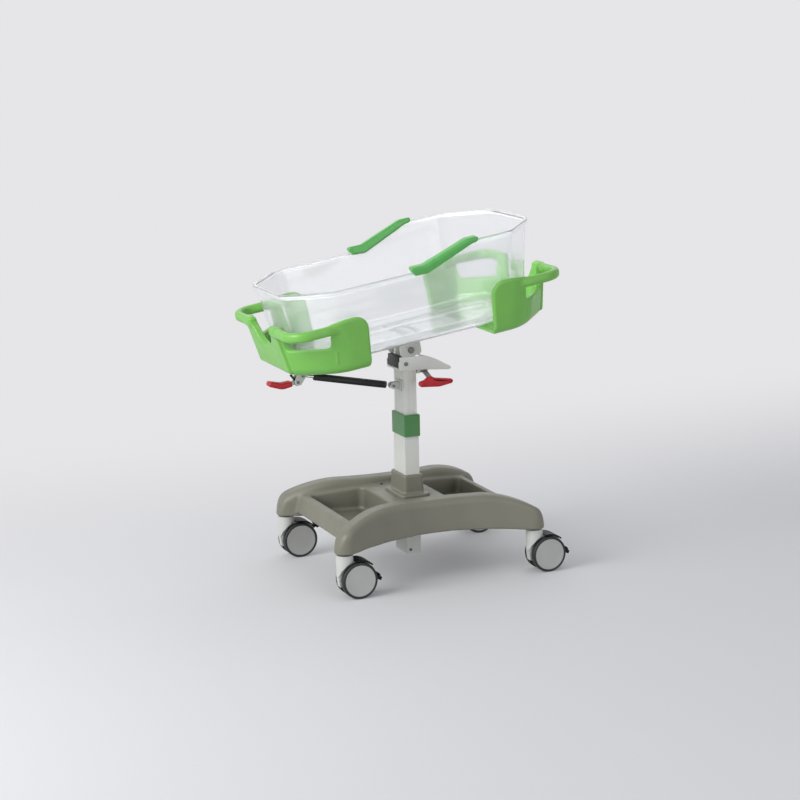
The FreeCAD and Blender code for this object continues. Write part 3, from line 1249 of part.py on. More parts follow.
pivot_bolt = new_body("pivot_bolt")
revolve(pivot_bolt, "YZ_Plane", [[
    ("-saddle_outer - bolt_height", "0"),
    ("-saddle_outer - bolt_height", "bolt_head - bolt_bevel"),
    ("-saddle_outer - bolt_height + bolt_bevel", "bolt_head"),
    ("-saddle_outer", "bolt_head"),
    ("-saddle_outer", "pivot_radius"),
    ("saddle_outer", "pivot_radius"),
    ("saddle_outer", "bolt_head"),
    ("saddle_outer + bolt_height - bolt_bevel", "bolt_head"),
    ("saddle_outer + bolt_height", "bolt_head - bolt_bevel"),
    ("saddle_outer + bolt_height", "0"),
]], "H_Axis")
place_on_tub(pivot_bolt)

clevis_pins = new_body("clevis_pins")
pad(clevis_pins, "XZ_Plane", [
    ("-clevis_reach", "-clevis_drop", "strut_pin_radius"),
    ("-tilt_lever_pin", "-tilt_lever_drop", "strut_pin_radius"),
], "-" + PIN_HALF, PIN_HALF)
place_on_tub(clevis_pins)

bracket_screws = new_body("bracket_screws")
heads = []
for side, side_sign in SIDES:
    for end, end_sign in ENDS:
        for distance in ("rail_screw_near", "rail_screw_far"):
            heads.append(("%d * %s" % (end_sign, distance), "%d * rail_y" % side_sign, "screw_radius"))
pad(bracket_screws, "XY_Plane", heads, "bracket_foot - screw_height", "bracket_foot")
place_on_tub(bracket_screws)

# ------------------------------------------------------------------ tub
TUB_SLOPE = math.tan(math.radians(value("tub_draft")))
TUB_DEPTH = value("tub_high_rim - tub_floor")


def tub_outline(outset, level):
    """The tub's eight-sided outline at a level, moved out from the outer wall by the outset."""
    share = (level - value("tub_floor")) / TUB_DEPTH
    rise = TUB_SLOPE * (level - value("tub_floor"))
    half_length = value("tub_half_length") + rise + outset
    half_width = value("tub_half_width") + rise + outset
    chamfer = value("tub_chamfer") + share * value("tub_chamfer_rim - tub_chamfer") + outset * BROAD
    end_half = value("tub_end_half") + share * value("tub_end_rim - tub_end_half") + outset * BROAD
    return [
        (half_length, -end_half),
        (half_length, end_half),
        (half_length - chamfer, half_width),
        (-half_length + chamfer, half_width),
        (-half_length, end_half),
        (-half_length, -end_half),
        (-half_length + chamfer, -half_width),
        (half_length - chamfer, -half_width),
    ]


def tub_solid(outset, low, high):
    """The solid inside the tub's wall, moved out by the outset, between two levels."""
    radius = value("tub_corner") + outset
    wires = []
    for level in (low, high):
        corners = tub_outline(outset, level)
        wires.append(cornered_wire(corners, [radius] * len(corners), level))
    return Part.makeLoft(wires, True, True)


def below_rim(drop):
    """All space below the rim line lowered by the drop."""
    low_rim = value("tub_low_rim") - drop
    high_rim = value("tub_high_rim") - drop
    foot = value("tub_step_low")
    head = value("tub_step_high")
    corners = [
        (-REACH, -REACH),
        (REACH, -REACH),
        (REACH, high_rim),
        (head, high_rim),
        (foot, low_rim),
        (-REACH, low_rim),
    ]
    return side_plate(corners, -REACH, REACH)


TUB_OVER = value("tub_high_rim") + MARGIN
floor = value("tub_floor")
tub_wall = value("tub_wall")
lip = value("lip_width")
lip_sheet = value("lip_sheet")
shell = tub_solid(0, floor, TUB_OVER).cut(tub_solid(-tub_wall, floor + tub_wall, TUB_OVER + NESTED))
shell = shell.common(below_rim(0))
lip_space = below_rim(0).cut(below_rim(value("lip_height")))
lip_level = value("tub_low_rim - lip_height") - MARGIN / 2
lip_core = tub_solid(-tub_wall / 2, lip_level - NESTED, TUB_OVER + NESTED)
lip_block = tub_solid(lip, lip_level, TUB_OVER).cut(lip_core)
lip_hollow = tub_solid(lip - lip_sheet, lip_level - NESTED, TUB_OVER + NESTED).common(below_rim(lip_sheet))
lip_ring = lip_block.common(lip_space).cut(lip_hollow)
tub_shape = shell.fuse(lip_ring)
for index in range(int(value("bead_count"))):
    level = value("tub_floor + bead_first") + index * value("bead_pitch")
    across = value("tub_half_width") + TUB_SLOPE * (level - floor)
    half = value("bead_half_length")
    for sign in (-1, 1):
        start = Vector(-half, sign * across, level)
        bead = Part.makeCylinder(value("bead_radius"), 2 * half, start, Vector(1, 0, 0))
        tub_shape = tub_shape.fuse(bead)
tub_shape = tub_shape.removeSplitter()
tub = set_shape("tub", tub_shape)
place_on_tub(tub)


GRIP_ROUNDS = (7, 30, 30, 5, 6, 30, 30, 8)      # the grip's corners, from its lower tail round


def make_grip(sign):
    """A hand grip that sits over the sloping part of the rim."""
    above = value("grip_above")
    crest = value("grip_crest")
    under = value("grip_below")
    foot = value("tub_step_low")
    head = value("tub_step_high")
    low_rim = value("tub_low_rim")
    high_rim = value("tub_high_rim")
    tail = foot - value("grip_tail")
    nose = head + value("grip_nose")
    corners = [
        (tail + above / 2, low_rim - under),
        (foot + under / 2, low_rim - under),
        (head + under / 2, high_rim - under),
        (nose, high_rim - under / 2),
        (nose, high_rim + crest),
        (head - crest, high_rim + crest),
        (foot - under / 2, low_rim + above),
        (tail, low_rim + above),
    ]
    width = value("grip_width")
    block = rounded_side_plate(corners, GRIP_ROUNDS, -width / 2, width / 2)
    edges = []
    for edge in block.Edges:
        box = edge.BoundBox
        if box.YLength < TOUCH:
            edges.append(edge)
    block = block.makeChamfer(value("grip_edge"), edges)
    middle = (low_rim + high_rim) / 2
    block.rotate(Vector(0, 0, middle), Vector(1, 0, 0), -value("tub_draft"))
    across = value("tub_half_width") + TUB_SLOPE * (middle - floor) + (lip - tub_wall) / 2
    block.translate(Vector(0, across, 0))
    if sign < 0:
        block = mirrored(block, Vector(0, 1, 0))
    past = 4 * MARGIN
    inner = tub_solid(0, lip_level - past, TUB_OVER + past)
    outer = tub_solid(lip, lip_level - past / 2, TUB_OVER + past / 2)
    band = outer.common(below_rim(0)).cut(below_rim(value("lip_height")))
    past += NESTED
    wall_band = inner.cut(tub_solid(-tub_wall, lip_level - past, TUB_OVER + past)).common(below_rim(0))
    past += NESTED
    lip_band = band.cut(tub_solid(-tub_wall, lip_level - past, TUB_OVER + past))
    return block.cut(lip_band).cut(wall_band)


for side, side_sign in SIDES:
    piece = make_grip(side_sign)
    grip = set_shape("rim_grip_%s" % side, piece)
    place_on_tub(grip)

# ------------------------------------------------------------------ end brackets
LEAN = math.tan(math.radians(value("bracket_lean")))
BRACKET_FOOT = value("bracket_foot")
BRACKET_TOP = value("bracket_top")


def bracket_outline(inset, level, inner_end):
    """The bracket's outline at a level: cheeks, cut corners and the end wall."""
    rise = LEAN * (level - BRACKET_FOOT)
    reach = value("bracket_reach") + rise - inset
    half_width = value("bracket_half_width") + rise - inset
    end_half = value("bracket_end_half") - inset * BROAD
    brow = value("bracket_reach") + rise - value("bracket_chamfer") - inset * BROAD
    return [
        (inner_end, -half_width),
        (brow, -half_width),
        (reach, -end_half),
        (reach, end_half),
        (brow, half_width),
        (inner_end, half_width),
    ]


def bracket_solid(inset, low, high, inner_end):
    """The solid inside the bracket's wall, moved in by the inset, between two levels."""
    radius = value("bracket_corner") - inset
    wires = []
    for level in (low, high):
        corners = bracket_outline(inset, level, inner_end)
        wires.append(cornered_wire(corners, [0, radius, radius, radius, radius, 0], level))
    return Part.makeLoft(wires, True, True)


def bar_ring(inset):
    """The rounded rectangle that the carrying bars follow, at their underside."""
    reach = value("bracket_reach + bar_end_overhang") - inset
    half_width = value("bracket_half_width + bar_side_overhang") - inset
    radius = value("bar_corner") - inset
    corners = [(-reach, -half_width), (reach, -half_width), (reach, half_width), (-reach, half_width)]
    height = BRACKET_TOP - value("bar_foot")
    return plate(corners, [radius] * len(corners), value("bar_foot"), height)


def make_bracket():
    """The head end's bracket; the foot end's is the same, turned half round."""
    inner_end = value("bracket_inner_end")
    bracket_wall = value("bracket_wall")
    outer = bracket_solid(0, BRACKET_FOOT, BRACKET_TOP, inner_end)
    keel = []
    for edge in outer.Edges:
        box = edge.BoundBox
        level = abs(box.ZMin - BRACKET_FOOT) < TOUCH and abs(box.ZMax - BRACKET_FOOT) < TOUCH
        if level and box.XMax > inner_end + TOUCH:
            keel.append(edge)
    outer = outer.makeChamfer(value("bracket_round / 2"), keel)
    shelf_top = BRACKET_FOOT + value("bracket_shelf")
    hollow = bracket_solid(bracket_wall, shelf_top, BRACKET_TOP + NESTED, inner_end - NESTED)
    solid = outer.cut(hollow)

    # the finger windows above the sill, between the cheek and the end wall's post
    sill = value("bracket_sill")
    cheek_end = inner_end + value("cheek_post")
    post = value("ear_post_outer")
    for sign in (-1, 1):
        low = min(sign * post, sign * REACH)
        window = Part.makeBox(REACH, REACH - post, REACH, Vector(cheek_end, low, sill))
        solid = solid.cut(window)

    # the hand notch in the end wall
    top_half = value("notch_half_top")
    sill_half = value("notch_half_sill")
    above = BRACKET_TOP + 4 * MARGIN
    flare = value("notch_flare")
    corners = [
        (-top_half, above),
        (-top_half, BRACKET_TOP - flare),
        (-sill_half, sill),
        (sill_half, sill),
        (top_half, BRACKET_TOP - flare),
        (top_half, above),
    ]
    round_off = value("notch_round")
    notch = rounded_side_plate(corners, [0, flare, round_off, round_off, flare, 0], 0, REACH)
    notch.rotate(Vector(0, 0, 0), Vector(0, 0, 1), -90)
    solid = solid.cut(notch)

    # the cheeks' upper corners
    cheek_round = value("cheek_round")
    corner_foot = BRACKET_TOP - cheek_round
    corner_block = Part.makeBox(cheek_round, REACH * 2, cheek_round, Vector(inner_end, -REACH, corner_foot))
    keep_start = Vector(inner_end + cheek_round, -REACH, corner_foot)
    keep = Part.makeCylinder(cheek_round, REACH * 2, keep_start, Vector(0, 1, 0))
    solid = solid.cut(corner_block.cut(keep))

    # the carrying bars round the corners
    bar_lap = value("bar_lap")
    ring = bar_ring(0).cut(bar_ring(value("bar_thick")))
    for sign in (-1, 1):
        low = min(sign * top_half, sign * REACH)
        sector = Part.makeBox(REACH, REACH - top_half, REACH, Vector(cheek_end - bar_lap, low, 0))
        bar = ring.common(sector)
        edges = []
        for edge in bar.Edges:
            box = edge.BoundBox
            if box.ZLength < TOUCH:
                if max(box.YLength, box.XLength) > value("bar_thick") + LEEWAY:
                    edges.append(edge)
        bar = bar.makeChamfer(value("bar_edge"), edges)
        solid = solid.fuse(bar)

    # the ribs on the cheeks
    for sign in (-1, 1):
        foot_level = value("rib_foot")
        top_level = value("rib_top")
        half = value("bracket_half_width - rib_sink")
        start = Vector(value("rib_x"), sign * (half + LEAN * (foot_level - BRACKET_FOOT)), foot_level)
        finish = Vector(value("rib_x"), sign * (half + LEAN * (top_level - BRACKET_FOOT)), top_level)
        way = finish - start
        solid = solid.fuse(Part.makeCylinder(value("rib_radius"), way.Length, start, way))

    # the opening in the shelf for the strut's far end
    window = Part.makeBox(value("window_far - window_near"), value("2 * clevis_window"), REACH,
                          Vector(value("window_near"), value("-clevis_window"), shelf_top - REACH))
    solid = solid.cut(window)
    return solid.removeSplitter()


bracket_shape = make_bracket()
for end, end_sign in ENDS:
    shape = bracket_shape if end_sign > 0 else mirrored(bracket_shape, Vector(1, 0, 0))
    bracket = set_shape("%s_bracket" % end, shape)
    place_on_tub(bracket)

# ------------------------------------------------------------------ levers
ARM_OUTLINE = [
    ("-lever_pin_y + root_in", "lever_pin_z - root_low"),
    ("-lever_pin_y - root_out", "lever_pin_z + root_high"),
    ("-lift_grip_y", "lift_grip_z + bar_tip_high"),
    ("-lift_grip_y", "lift_grip_z - bar_tip_low"),
]
LEVER_MIDDLE = "(lever_near_x + lever_far_x) / 2"
LEVER_LOW = LEVER_MIDDLE + " - lever_width / 2"
LEVER_HIGH = LEVER_MIDDLE + " + lever_width / 2"
lift_lever = new_body("lift_lever")
boss = ("-lever_pin_y", "lever_pin_z", "lever_boss")
pad(lift_lever, "YZ_Plane", [boss], "lever_near_x", "lever_far_x")
pad(lift_lever, "YZ_Plane", [ARM_OUTLINE], LEVER_LOW, LEVER_HIGH)
pin_bore = ("-lever_pin_y", "lever_pin_z", "lever_pin_radius + run_gap")
pocket(lift_lever, "YZ_Plane", [pin_bore], "-stem_x", "stem_x")
place(lift_lever)

lift_grip = new_body("lift_grip")
grip_circle = ("-lift_grip_y", "lift_grip_z", "lift_grip_radius")
pad(lift_grip, "YZ_Plane", [grip_circle], "lift_grip_x - lift_grip_length / 2",
    "lift_grip_x + lift_grip_length / 2")
bevel_edges(lift_grip, "grip_round / 2", lambda edge: edge.BoundBox.XLength < TOUCH)
pocket(lift_grip, "YZ_Plane", [ARM_OUTLINE], LEVER_LOW, LEVER_HIGH)
place(lift_grip)

tilt_lever = new_body("tilt_lever")
pad(tilt_lever, "XZ_Plane", [("0", "0", "tilt_boss")], "-" + EYE_HALF, EYE_HALF)
stalk = box_outline("-tilt_grip_near - stalk_seat", "0", "-lever_depth / 2", "lever_depth / 2")
pad(tilt_lever, "XZ_Plane", [stalk], "-lever_width / 2", "lever_width / 2")
pocket(tilt_lever, "XZ_Plane", [("0", "0", "strut_pin_radius + run_gap")], "-stem_y", "stem_y")

tilt_grip = new_body("tilt_grip")
paddle = [
    ("-tilt_grip_near", "tilt_grip_depth / 2"),
    ("-tilt_grip_knee", "tilt_grip_depth / 2"),
    ("-tilt_grip_tip + paddle_rake", "tilt_grip_depth / 2 + tilt_grip_rise"),
    ("-tilt_grip_tip", "-tilt_grip_depth / 2 + tilt_grip_rise + paddle_thin"),
    ("-tilt_grip_knee", "-tilt_grip_depth / 2 - paddle_belly"),
    ("-tilt_grip_near", "-tilt_grip_depth / 2"),
]
pad(tilt_grip, "XZ_Plane", [paddle], "-tilt_grip_width / 2", "tilt_grip_width / 2")
round_edges(tilt_grip, "grip_round / 2", lambda edge: runs_along(edge, "Y"))
pocket(tilt_grip, "XZ_Plane", [stalk], "-lever_width / 2", "lever_width / 2")

release_link = new_body("release_link")
link = box_outline("tilt_boss", "link_length", "-link_width / 2", "link_width / 2")
pad(release_link, "XZ_Plane", [link], "-link_width / 2", "link_width / 2")

pin_along = value("tilt_lever_pin")
pin_down = value("tilt_lever_drop")
lever_x = pin_down * math.sin(tilt) - pin_along * math.cos(tilt)
lever_z = value("pivot_z") - pin_along * math.sin(tilt) - pin_down * math.cos(tilt)
turns = ((tilt_lever, "-tilt_rest"), (tilt_grip, "-tilt_rest"), (release_link, "-tilt_rest - link_angle"))
for piece, turn in turns:
    place(piece, "column_x + (%r)" % lever_x, "0", repr(lever_z), angle=turn)

# ------------------------------------------------------------------ checks and export
doc.recompute()
for item in doc.Objects:
    if "Invalid" in item.State or "Error" in item.State:
        raise RuntimeError("%s is %s" % (item.Label, item.State))
for piece in PIECES:
    if piece.Shape.isNull() or not piece.Shape.isValid():
        raise RuntimeError("%s has no valid shape" % piece.Label)

os.makedirs("parts", exist_ok=True)
for piece in PIECES:
    piece.Shape.exportStep("parts/%s.step" % piece.Label)
print("%d pieces" % len(PIECES))
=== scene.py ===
"""Dresses a hospital bassinet: its clear tub, moulded brackets, levers, strut, column, base and casters."""
import json
import math

import bpy
import numpy as np
from bpy.props import FloatProperty, FloatVectorProperty, PointerProperty
from mathutils import Matrix, Vector


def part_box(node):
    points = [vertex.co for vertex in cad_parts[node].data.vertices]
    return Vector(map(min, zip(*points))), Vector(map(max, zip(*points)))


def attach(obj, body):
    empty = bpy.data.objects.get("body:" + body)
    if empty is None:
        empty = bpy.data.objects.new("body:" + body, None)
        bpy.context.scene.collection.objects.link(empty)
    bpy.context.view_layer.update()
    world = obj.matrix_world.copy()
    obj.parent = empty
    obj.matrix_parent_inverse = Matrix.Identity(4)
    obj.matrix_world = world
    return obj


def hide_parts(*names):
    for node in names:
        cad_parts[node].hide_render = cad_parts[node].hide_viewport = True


bl_info = {
    "name": "Hospital bassinet",
    "version": (1, 0, 0),
    "blender": (4, 5, 0),
    "location": "View3D > Sidebar > Bassinet",
    "description": "Builds the visible pieces of a hospital bassinet round its CAD model",
    "category": "Object",
}

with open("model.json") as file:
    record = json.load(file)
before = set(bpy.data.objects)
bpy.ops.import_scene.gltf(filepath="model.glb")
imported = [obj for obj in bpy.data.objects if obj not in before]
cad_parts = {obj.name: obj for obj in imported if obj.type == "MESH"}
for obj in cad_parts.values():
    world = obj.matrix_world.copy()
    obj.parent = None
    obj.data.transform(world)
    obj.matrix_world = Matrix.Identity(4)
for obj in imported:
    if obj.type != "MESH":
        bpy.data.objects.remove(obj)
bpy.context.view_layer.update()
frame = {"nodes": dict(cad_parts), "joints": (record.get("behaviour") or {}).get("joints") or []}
MM = 0.001
JOINTS = {joint["name"]: joint for joint in frame["joints"]}
PIVOT = np.array(JOINTS["cradle_tilt"]["pos_m"], float)
COLUMN_X = PIVOT[0]
TILT = math.radians(8.4)            # how far the head end is raised at rest
CASTERS = [side + "_" + end + "_caster" for side in ("near", "far") for end in ("foot", "head")]


# ------------------------------------------------------------------ colours
def linear(code):
    """An sRGB hex colour as linear red, green, blue."""
    parts = np.array([int(code[index:index + 2], 16) for index in (1, 3, 5)]) / 255
    return tuple(np.where(parts <= 0.04045, parts / 12.92, ((parts + 0.055) / 1.055) ** 2.4))


def colour_property(name, description, code):
    """A colour setting whose default is the hex code."""
    return FloatVectorProperty(name=name, description=description, subtype="COLOR", size=3,
                               min=0, max=1, default=linear(code))


def length_property(name, description, millimetres):
    """A length setting in metres, whose default is given in millimetres."""
    return FloatProperty(name=name, description=description, subtype="DISTANCE", unit="LENGTH",
                         min=0, default=millimetres / 1000)


class BassinetColours(bpy.types.PropertyGroup):
    """Colours that a maker would offer."""
    bracket: colour_property("Brackets", "Moulded end brackets", "#6FB14C")
    rim_grip: colour_property("Rim grips", "Grips on the tub's rim", "#4FA84C")
    collar: colour_property("Collar", "Collar of the column", "#437C42")
    lever: colour_property("Levers", "Grips of the release levers", "#AE1420")
    cover: colour_property("Base", "Base cover and boot", "#767568")
    column: colour_property("Column", "Column tubes and head", "#CFD0CA")
    housing: colour_property("Casters", "Caster housings", "#C0C1BC")
    hub: colour_property("Hubs", "Faces of the caster wheels", "#A9A9A6")
    floor: colour_property("Floor", "Floor and backdrop", "#CCCDCF")


class BassinetSizes(bpy.types.PropertyGroup):
    """Finishing sizes that the CAD model leaves plain."""
    arm_round: length_property("Arm rounding", "Rounding along the arms of the base", 17)
    cover_grain: length_property("Cover grain", "Spacing of the base cover's mesh", 3.6)
    bracket_grain: length_property("Bracket grain", "Spacing of the brackets' mesh", 2.8)
    floor_round: length_property("Tub floor rounding", "Rounding between the tub's floor and walls", 13)
    tub_corner: length_property("Tub corner", "Rounding of the tub's upright corners", 58)
    lip_round: length_property("Lip rounding", "Rounding of the tub's lip", 2.2)
    grip_round: length_property("Rim grip rounding", "Rounding of the grips on the rim", 5.8)
    lever_round: length_property("Lever rounding", "Rounding of the red levers", 7)
    tread_round: length_property("Tread rounding", "Rounding of the caster treads", 3.4)


# ------------------------------------------------------------------ surfaces
def unit(vectors):
    """The vectors divided by their lengths."""
    return vectors / np.linalg.norm(vectors, axis=-1, keepdims=True)


def rounded_outline(corners, radii, steps=8):
    """A closed outline with an arc at each corner.

    The arc's centre stands on the corner's bisector, radius / sin(half angle) from the corner, and
    its points are the centre plus the radius times a normal that turns from one side's to the
    next's. A hollow corner has its centre outside and the normals reversed. Counter-clockwise.
    """
    spots = np.asarray(corners, float)
    back = unit(np.roll(spots, 1, 0) - spots)
    ahead = unit(np.roll(spots, -1, 0) - spots)
    half = np.arccos(np.clip((back * ahead).sum(1), -1, 1)) / 2
    reach = np.broadcast_to(np.asarray(radii, float), half.shape)
    centre = spots + unit(back + ahead) * (reach / np.sin(half))[:, None]
    first = np.arctan2(back[:, 0], -back[:, 1])
    turn = np.arctan2(ahead[:, 1] * back[:, 0] - ahead[:, 0] * back[:, 1],
                      -(ahead * back).sum(1))
    angles = first[:, None] - turn[:, None] * np.linspace(0, 1, steps)[None]
    normals = np.stack([np.cos(angles), np.sin(angles)], -1)
    side = np.where(turn < 0, 1.0, -1.0)
    points = centre[:, None] + normals * (reach * side)[:, None, None]
    return points.reshape(-1, 2), normals.reshape(-1, 2)


def evened(points, normals, spacing):
    """The outline with points added, so that none lie further apart than the spacing."""
    loop = np.vstack([points, points[:1]])
    turns = np.vstack([normals, normals[:1]])
    along = np.concatenate([[0], np.cumsum(np.linalg.norm(np.diff(loop, axis=0), axis=1))])
    marks = np.union1d(along, np.arange(0, along[-1], spacing))
    marks = marks[np.concatenate([[True], np.diff(marks) > spacing * 0.02])][:-1]
    spots = np.stack([np.interp(marks, along, loop[:, axis]) for axis in (0, 1)], -1)
    ways = np.stack([np.interp(marks, along, turns[:, axis]) for axis in (0, 1)], -1)
    return spots, unit(ways)


def skin(rings, looped=False):
    """Points and faces of a stack of rings: four-sided faces between neighbouring rings, and one
    face over each end unless the stack is looped."""
    count, around = rings.shape[:2]
    points = rings.reshape(-1, 3)
    row = np.arange(count if looped else count - 1)[:, None] * around
    above = (row + around) % (count * around)
    here = np.arange(around)[None]
    ahead = (here + 1) % around
    faces = np.stack([row + here, row + ahead, above + ahead, above + here], -1).reshape(-1, 4).tolist()
    if not looped:
        faces.append(here[0][::-1].tolist())
        faces.append((here[0] + (count - 1) * around).tolist())
    return points, faces


def volume(points, faces):
    """Six times the volume inside the faces, negative where they point inwards."""
    total = 0.0
    for size in {len(face) for face in faces}:
        chosen = np.array([face for face in faces if len(face) == size])
        for last in range(2, size):
            a, b, c = (points[chosen[:, index]] for index in (0, last - 1, last))
            total += (a * np.cross(b, c)).sum()
    return total


def make_piece(name, parts, body, slot, stands_for=(), sharp=None):
    """One mesh object from (points, faces) parts, facing outwards, riding on its body.

    Edges that turn by more than the sharp angle in degrees keep their crease.
    """
    points, faces, start = [], [], 0
    for spots, corners in parts:
        if volume(spots, corners) < 0:
            corners = [face[::-1] for face in corners]
        points.append(spots)
        faces += [[index + start for index in face] for face in corners]
        start += len(spots)
    mesh = bpy.data.meshes.new(name)
    mesh.from_pydata(np.vstack(points).tolist(), [], faces)
    mesh.polygons.foreach_set("use_smooth", np.ones(len(mesh.polygons), bool))
    if sharp is not None:
        mesh.set_sharp_from_angle(angle=math.radians(sharp))
    mesh.materials.append(finish_for(slot))
    mesh.update()
    piece = bpy.data.objects.new(name, mesh)
    bpy.context.scene.collection.objects.link(piece)
    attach(piece, body)
    if stands_for:
        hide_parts(*stands_for)


def pillow(outline, normals, low, high, edge, steps):
    """Rings of a block: the outline from low to high, drawn in along a quarter circle at both ends.

    At an angle t of the quarter circle the ring stands edge * (1 - cos t) from the end and is drawn in
    by edge * (1 - sin t).
    """
    turn = np.linspace(0, math.pi / 2, steps)
    inset = edge * (1 - np.sin(turn))
    rise = edge * (1 - np.cos(turn))
    levels = np.concatenate([low + rise, high - rise[::-1]])
    insets = np.concatenate([inset, inset[::-1]])
    flat = outline[None] - normals[None] * insets[:, None, None]
    return np.concatenate([flat, np.broadcast_to(levels[:, None, None], flat.shape[:2] + (1,))], -1)


def placed(rings, origin, across, up, out):
    """Rings in a piece's own axes, moved to the origin and turned to the three directions."""
    axes = np.array([across, up, out], float)
    return np.asarray(origin, float) + rings @ axes


X_WAY, Y_WAY, Z_WAY = np.eye(3)
TUB_ALONG = np.array([math.cos(TILT), 0, math.sin(TILT)])
TUB_UP = np.array([-math.sin(TILT), 0, math.cos(TILT)])


def on_tub(points):
    """Points along, across and above the tilt pivot, in the raised tub's own axes."""
    return PIVOT + points @ np.array([TUB_ALONG, Y_WAY, TUB_UP])


def turned(profile, centre, steps):
    """A profile of (radius, distance along Y) carried once round an axis through the centre."""
    angle = np.linspace(0, 2 * math.pi, steps, endpoint=False)
    radius, along = np.asarray(profile, float).T
    return np.stack([
        centre[0] + radius[:, None] * np.cos(angle),
        np.broadcast_to((centre[1] + along)[:, None], (len(radius), steps)),
        centre[2] + radius[:, None] * np.sin(angle),
    ], -1)


def arc_points(centre, radius, first, last, steps):
    """Points of a circle's arc between two angles in degrees."""
    angle = np.radians(np.linspace(first, last, steps))
    return np.stack([centre[0] + radius * np.cos(angle), centre[1] + radius * np.sin(angle)], -1)


def rounded_both(first, second, radius):
    """Signed distance to what lies inside both shapes, with their shared edge rounded."""
    a, b = first + radius, second + radius
    return np.minimum(np.maximum(a, b), 0) + np.hypot(np.maximum(a, 0), np.maximum(b, 0)) - radius


def blended(first, second, radius):
    """Signed distance to two shapes together, with a soft hollow of about the radius between them."""
    share = np.clip(0.5 + (second - first) / (2 * radius), 0, 1)
    return second + (first - second) * share - radius * share * (1 - share)


def without(shape, taken, radius):
    """Signed distance to the first shape less the second, with soft edges."""
    return -blended(-shape, taken, radius)


def grid_over(low, high, step):
    """The three coordinates of every point of an even grid between two corners."""
    counts = np.ceil((np.array(high) - low) / step).astype(int) + 1
    lines = (low[axis] + step * np.arange(counts[axis]) for axis in range(3))
    return np.meshgrid(*lines, indexing="ij")


def surface_of(field, start, step):
    """Points and faces of the surface where a field of signed distances is zero.

    A grid cell that the surface crosses has one point: the middle of the places where the cell's
    edges cross it. A grid edge whose ends differ in sign has one face: its four cells' points.
    """
    cells = np.array(field.shape) - 1
    total, count = np.zeros((*cells, 3)), np.zeros(cells)
    for axis in range(3):
        others = [other for other in range(3) if other != axis]
        for corner in ((0, 0), (0, 1), (1, 0), (1, 1)):
            spans = [slice(0, size) for size in cells]
            for other, bit in zip(others, corner):
                spans[other] = slice(bit, bit + cells[other])
            here = field[tuple(spans)]
            spans[axis] = slice(1, 1 + cells[axis])
            there = field[tuple(spans)]
            crossed = (here < 0) != (there < 0)
            total[..., axis] += np.where(crossed, here / np.where(crossed, here - there, 1), 0)
            for other, bit in zip(others, corner):
                total[..., other] += crossed * bit
            count += crossed
    used = count > 0
    number = np.full(cells, -1)
    number[used] = np.arange(used.sum())
    points = np.argwhere(used) + total[used] / count[used][:, None]
    faces = []
    for axis in range(3):
        one, two = (axis + 1) % 3, (axis + 2) % 3
        inner = [slice(1, size) for size in cells]
        inner[axis] = slice(0, cells[axis])
        here = field[tuple(inner)] < 0
        inner[axis] = slice(1, 1 + cells[axis])
        crossed = here != (field[tuple(inner)] < 0)
        spots = np.argwhere(crossed)
        spots[:, one] += 1
        spots[:, two] += 1
        ring = []
        for back in ((1, 1), (0, 1), (0, 0), (1, 0)):
            cell = spots.copy()
            cell[:, one] -= back[0]
            cell[:, two] -= back[1]
            ring.append(number[tuple(cell.T)])
        ring = np.stack(ring, -1)
        leaving = here[crossed]
        faces += np.where(leaving[:, None], ring, ring[:, ::-1]).tolist()
    return start + points * step, faces


# ------------------------------------------------------------------ materials
def add_node(tree, kind, settings=None, **inputs):
    """A node with its settings, and with each input linked to a socket or set to a value.

    An input goes by its name, with _ for a space, or by its number after an n.
    """
    node = tree.nodes.new(kind)
    for key, value in (settings or {}).items():
        setattr(node, key, value)
    for key, value in inputs.items():
        numbered = key[0] == "n" and key[1:].isdigit()
        socket = node.inputs[int(key[1:]) if numbered else key.replace("_", " ")]
        if isinstance(value, bpy.types.NodeSocket):
            tree.links.new(value, socket)
        else:
            socket.default_value = value
    return node


def new_material(name):
    """An empty material: its tree, its output and the object's own coordinates."""
    material = bpy.data.materials.new(name)
    material.use_nodes = True
    tree = material.node_tree
    tree.nodes.clear()
    output = add_node(tree, "ShaderNodeOutputMaterial")
    place = add_node(tree, "ShaderNodeTexCoord").outputs["Object"]
    return material, tree, output, place


def noise(tree, place, size_mm, detail):
    """Noise whose spots are about this many millimetres across."""
    return add_node(tree, "ShaderNodeTexNoise", None, Vector=place, Scale=1000 / size_mm,
                    Detail=detail).outputs["Fac"]


def ranged(tree, value, low, high):
    """A noise value, whose usual span is 0.3 to 0.7, spread between low and high."""
    spread = add_node(tree, "ShaderNodeMapRange", None, Value=value, n1=0.3, n2=0.7, n3=low, n4=high)
    return spread.outputs[0]


def clouded(tree, place, colour, size_mm, amount):
    """The colour, made a little darker and lighter in soft patches of the size."""
    dark = [part * (1 - amount) for part in colour[:3]] + [1]
    light = [min(1, part * (1 + amount)) for part in colour[:3]] + [1]
    spots = ranged(tree, noise(tree, place, size_mm, 3), 0.0, 1.0)
    return add_node(tree, "ShaderNodeMix", {"data_type": "RGBA"}, n0=spots, n6=dark, n7=light).outputs[2]


def with_painted_hollow_shade(tree, shade, share):
    """The colour, deeper by up to the share in hollows, where dust is not wiped off."""
    unshaded = add_node(tree, "ShaderNodeAmbientOcclusion", {"samples": 8}, Distance=0.12).outputs["AO"]
    depth = add_node(tree, "ShaderNodeMapRange", None, Value=unshaded, n1=0.2, n2=0.75,
                     n3=1 - share, n4=1.0).outputs[0]
    return add_node(tree, "ShaderNodeVectorMath", {"operation": "SCALE"}, n0=shade, Scale=depth).outputs[0]


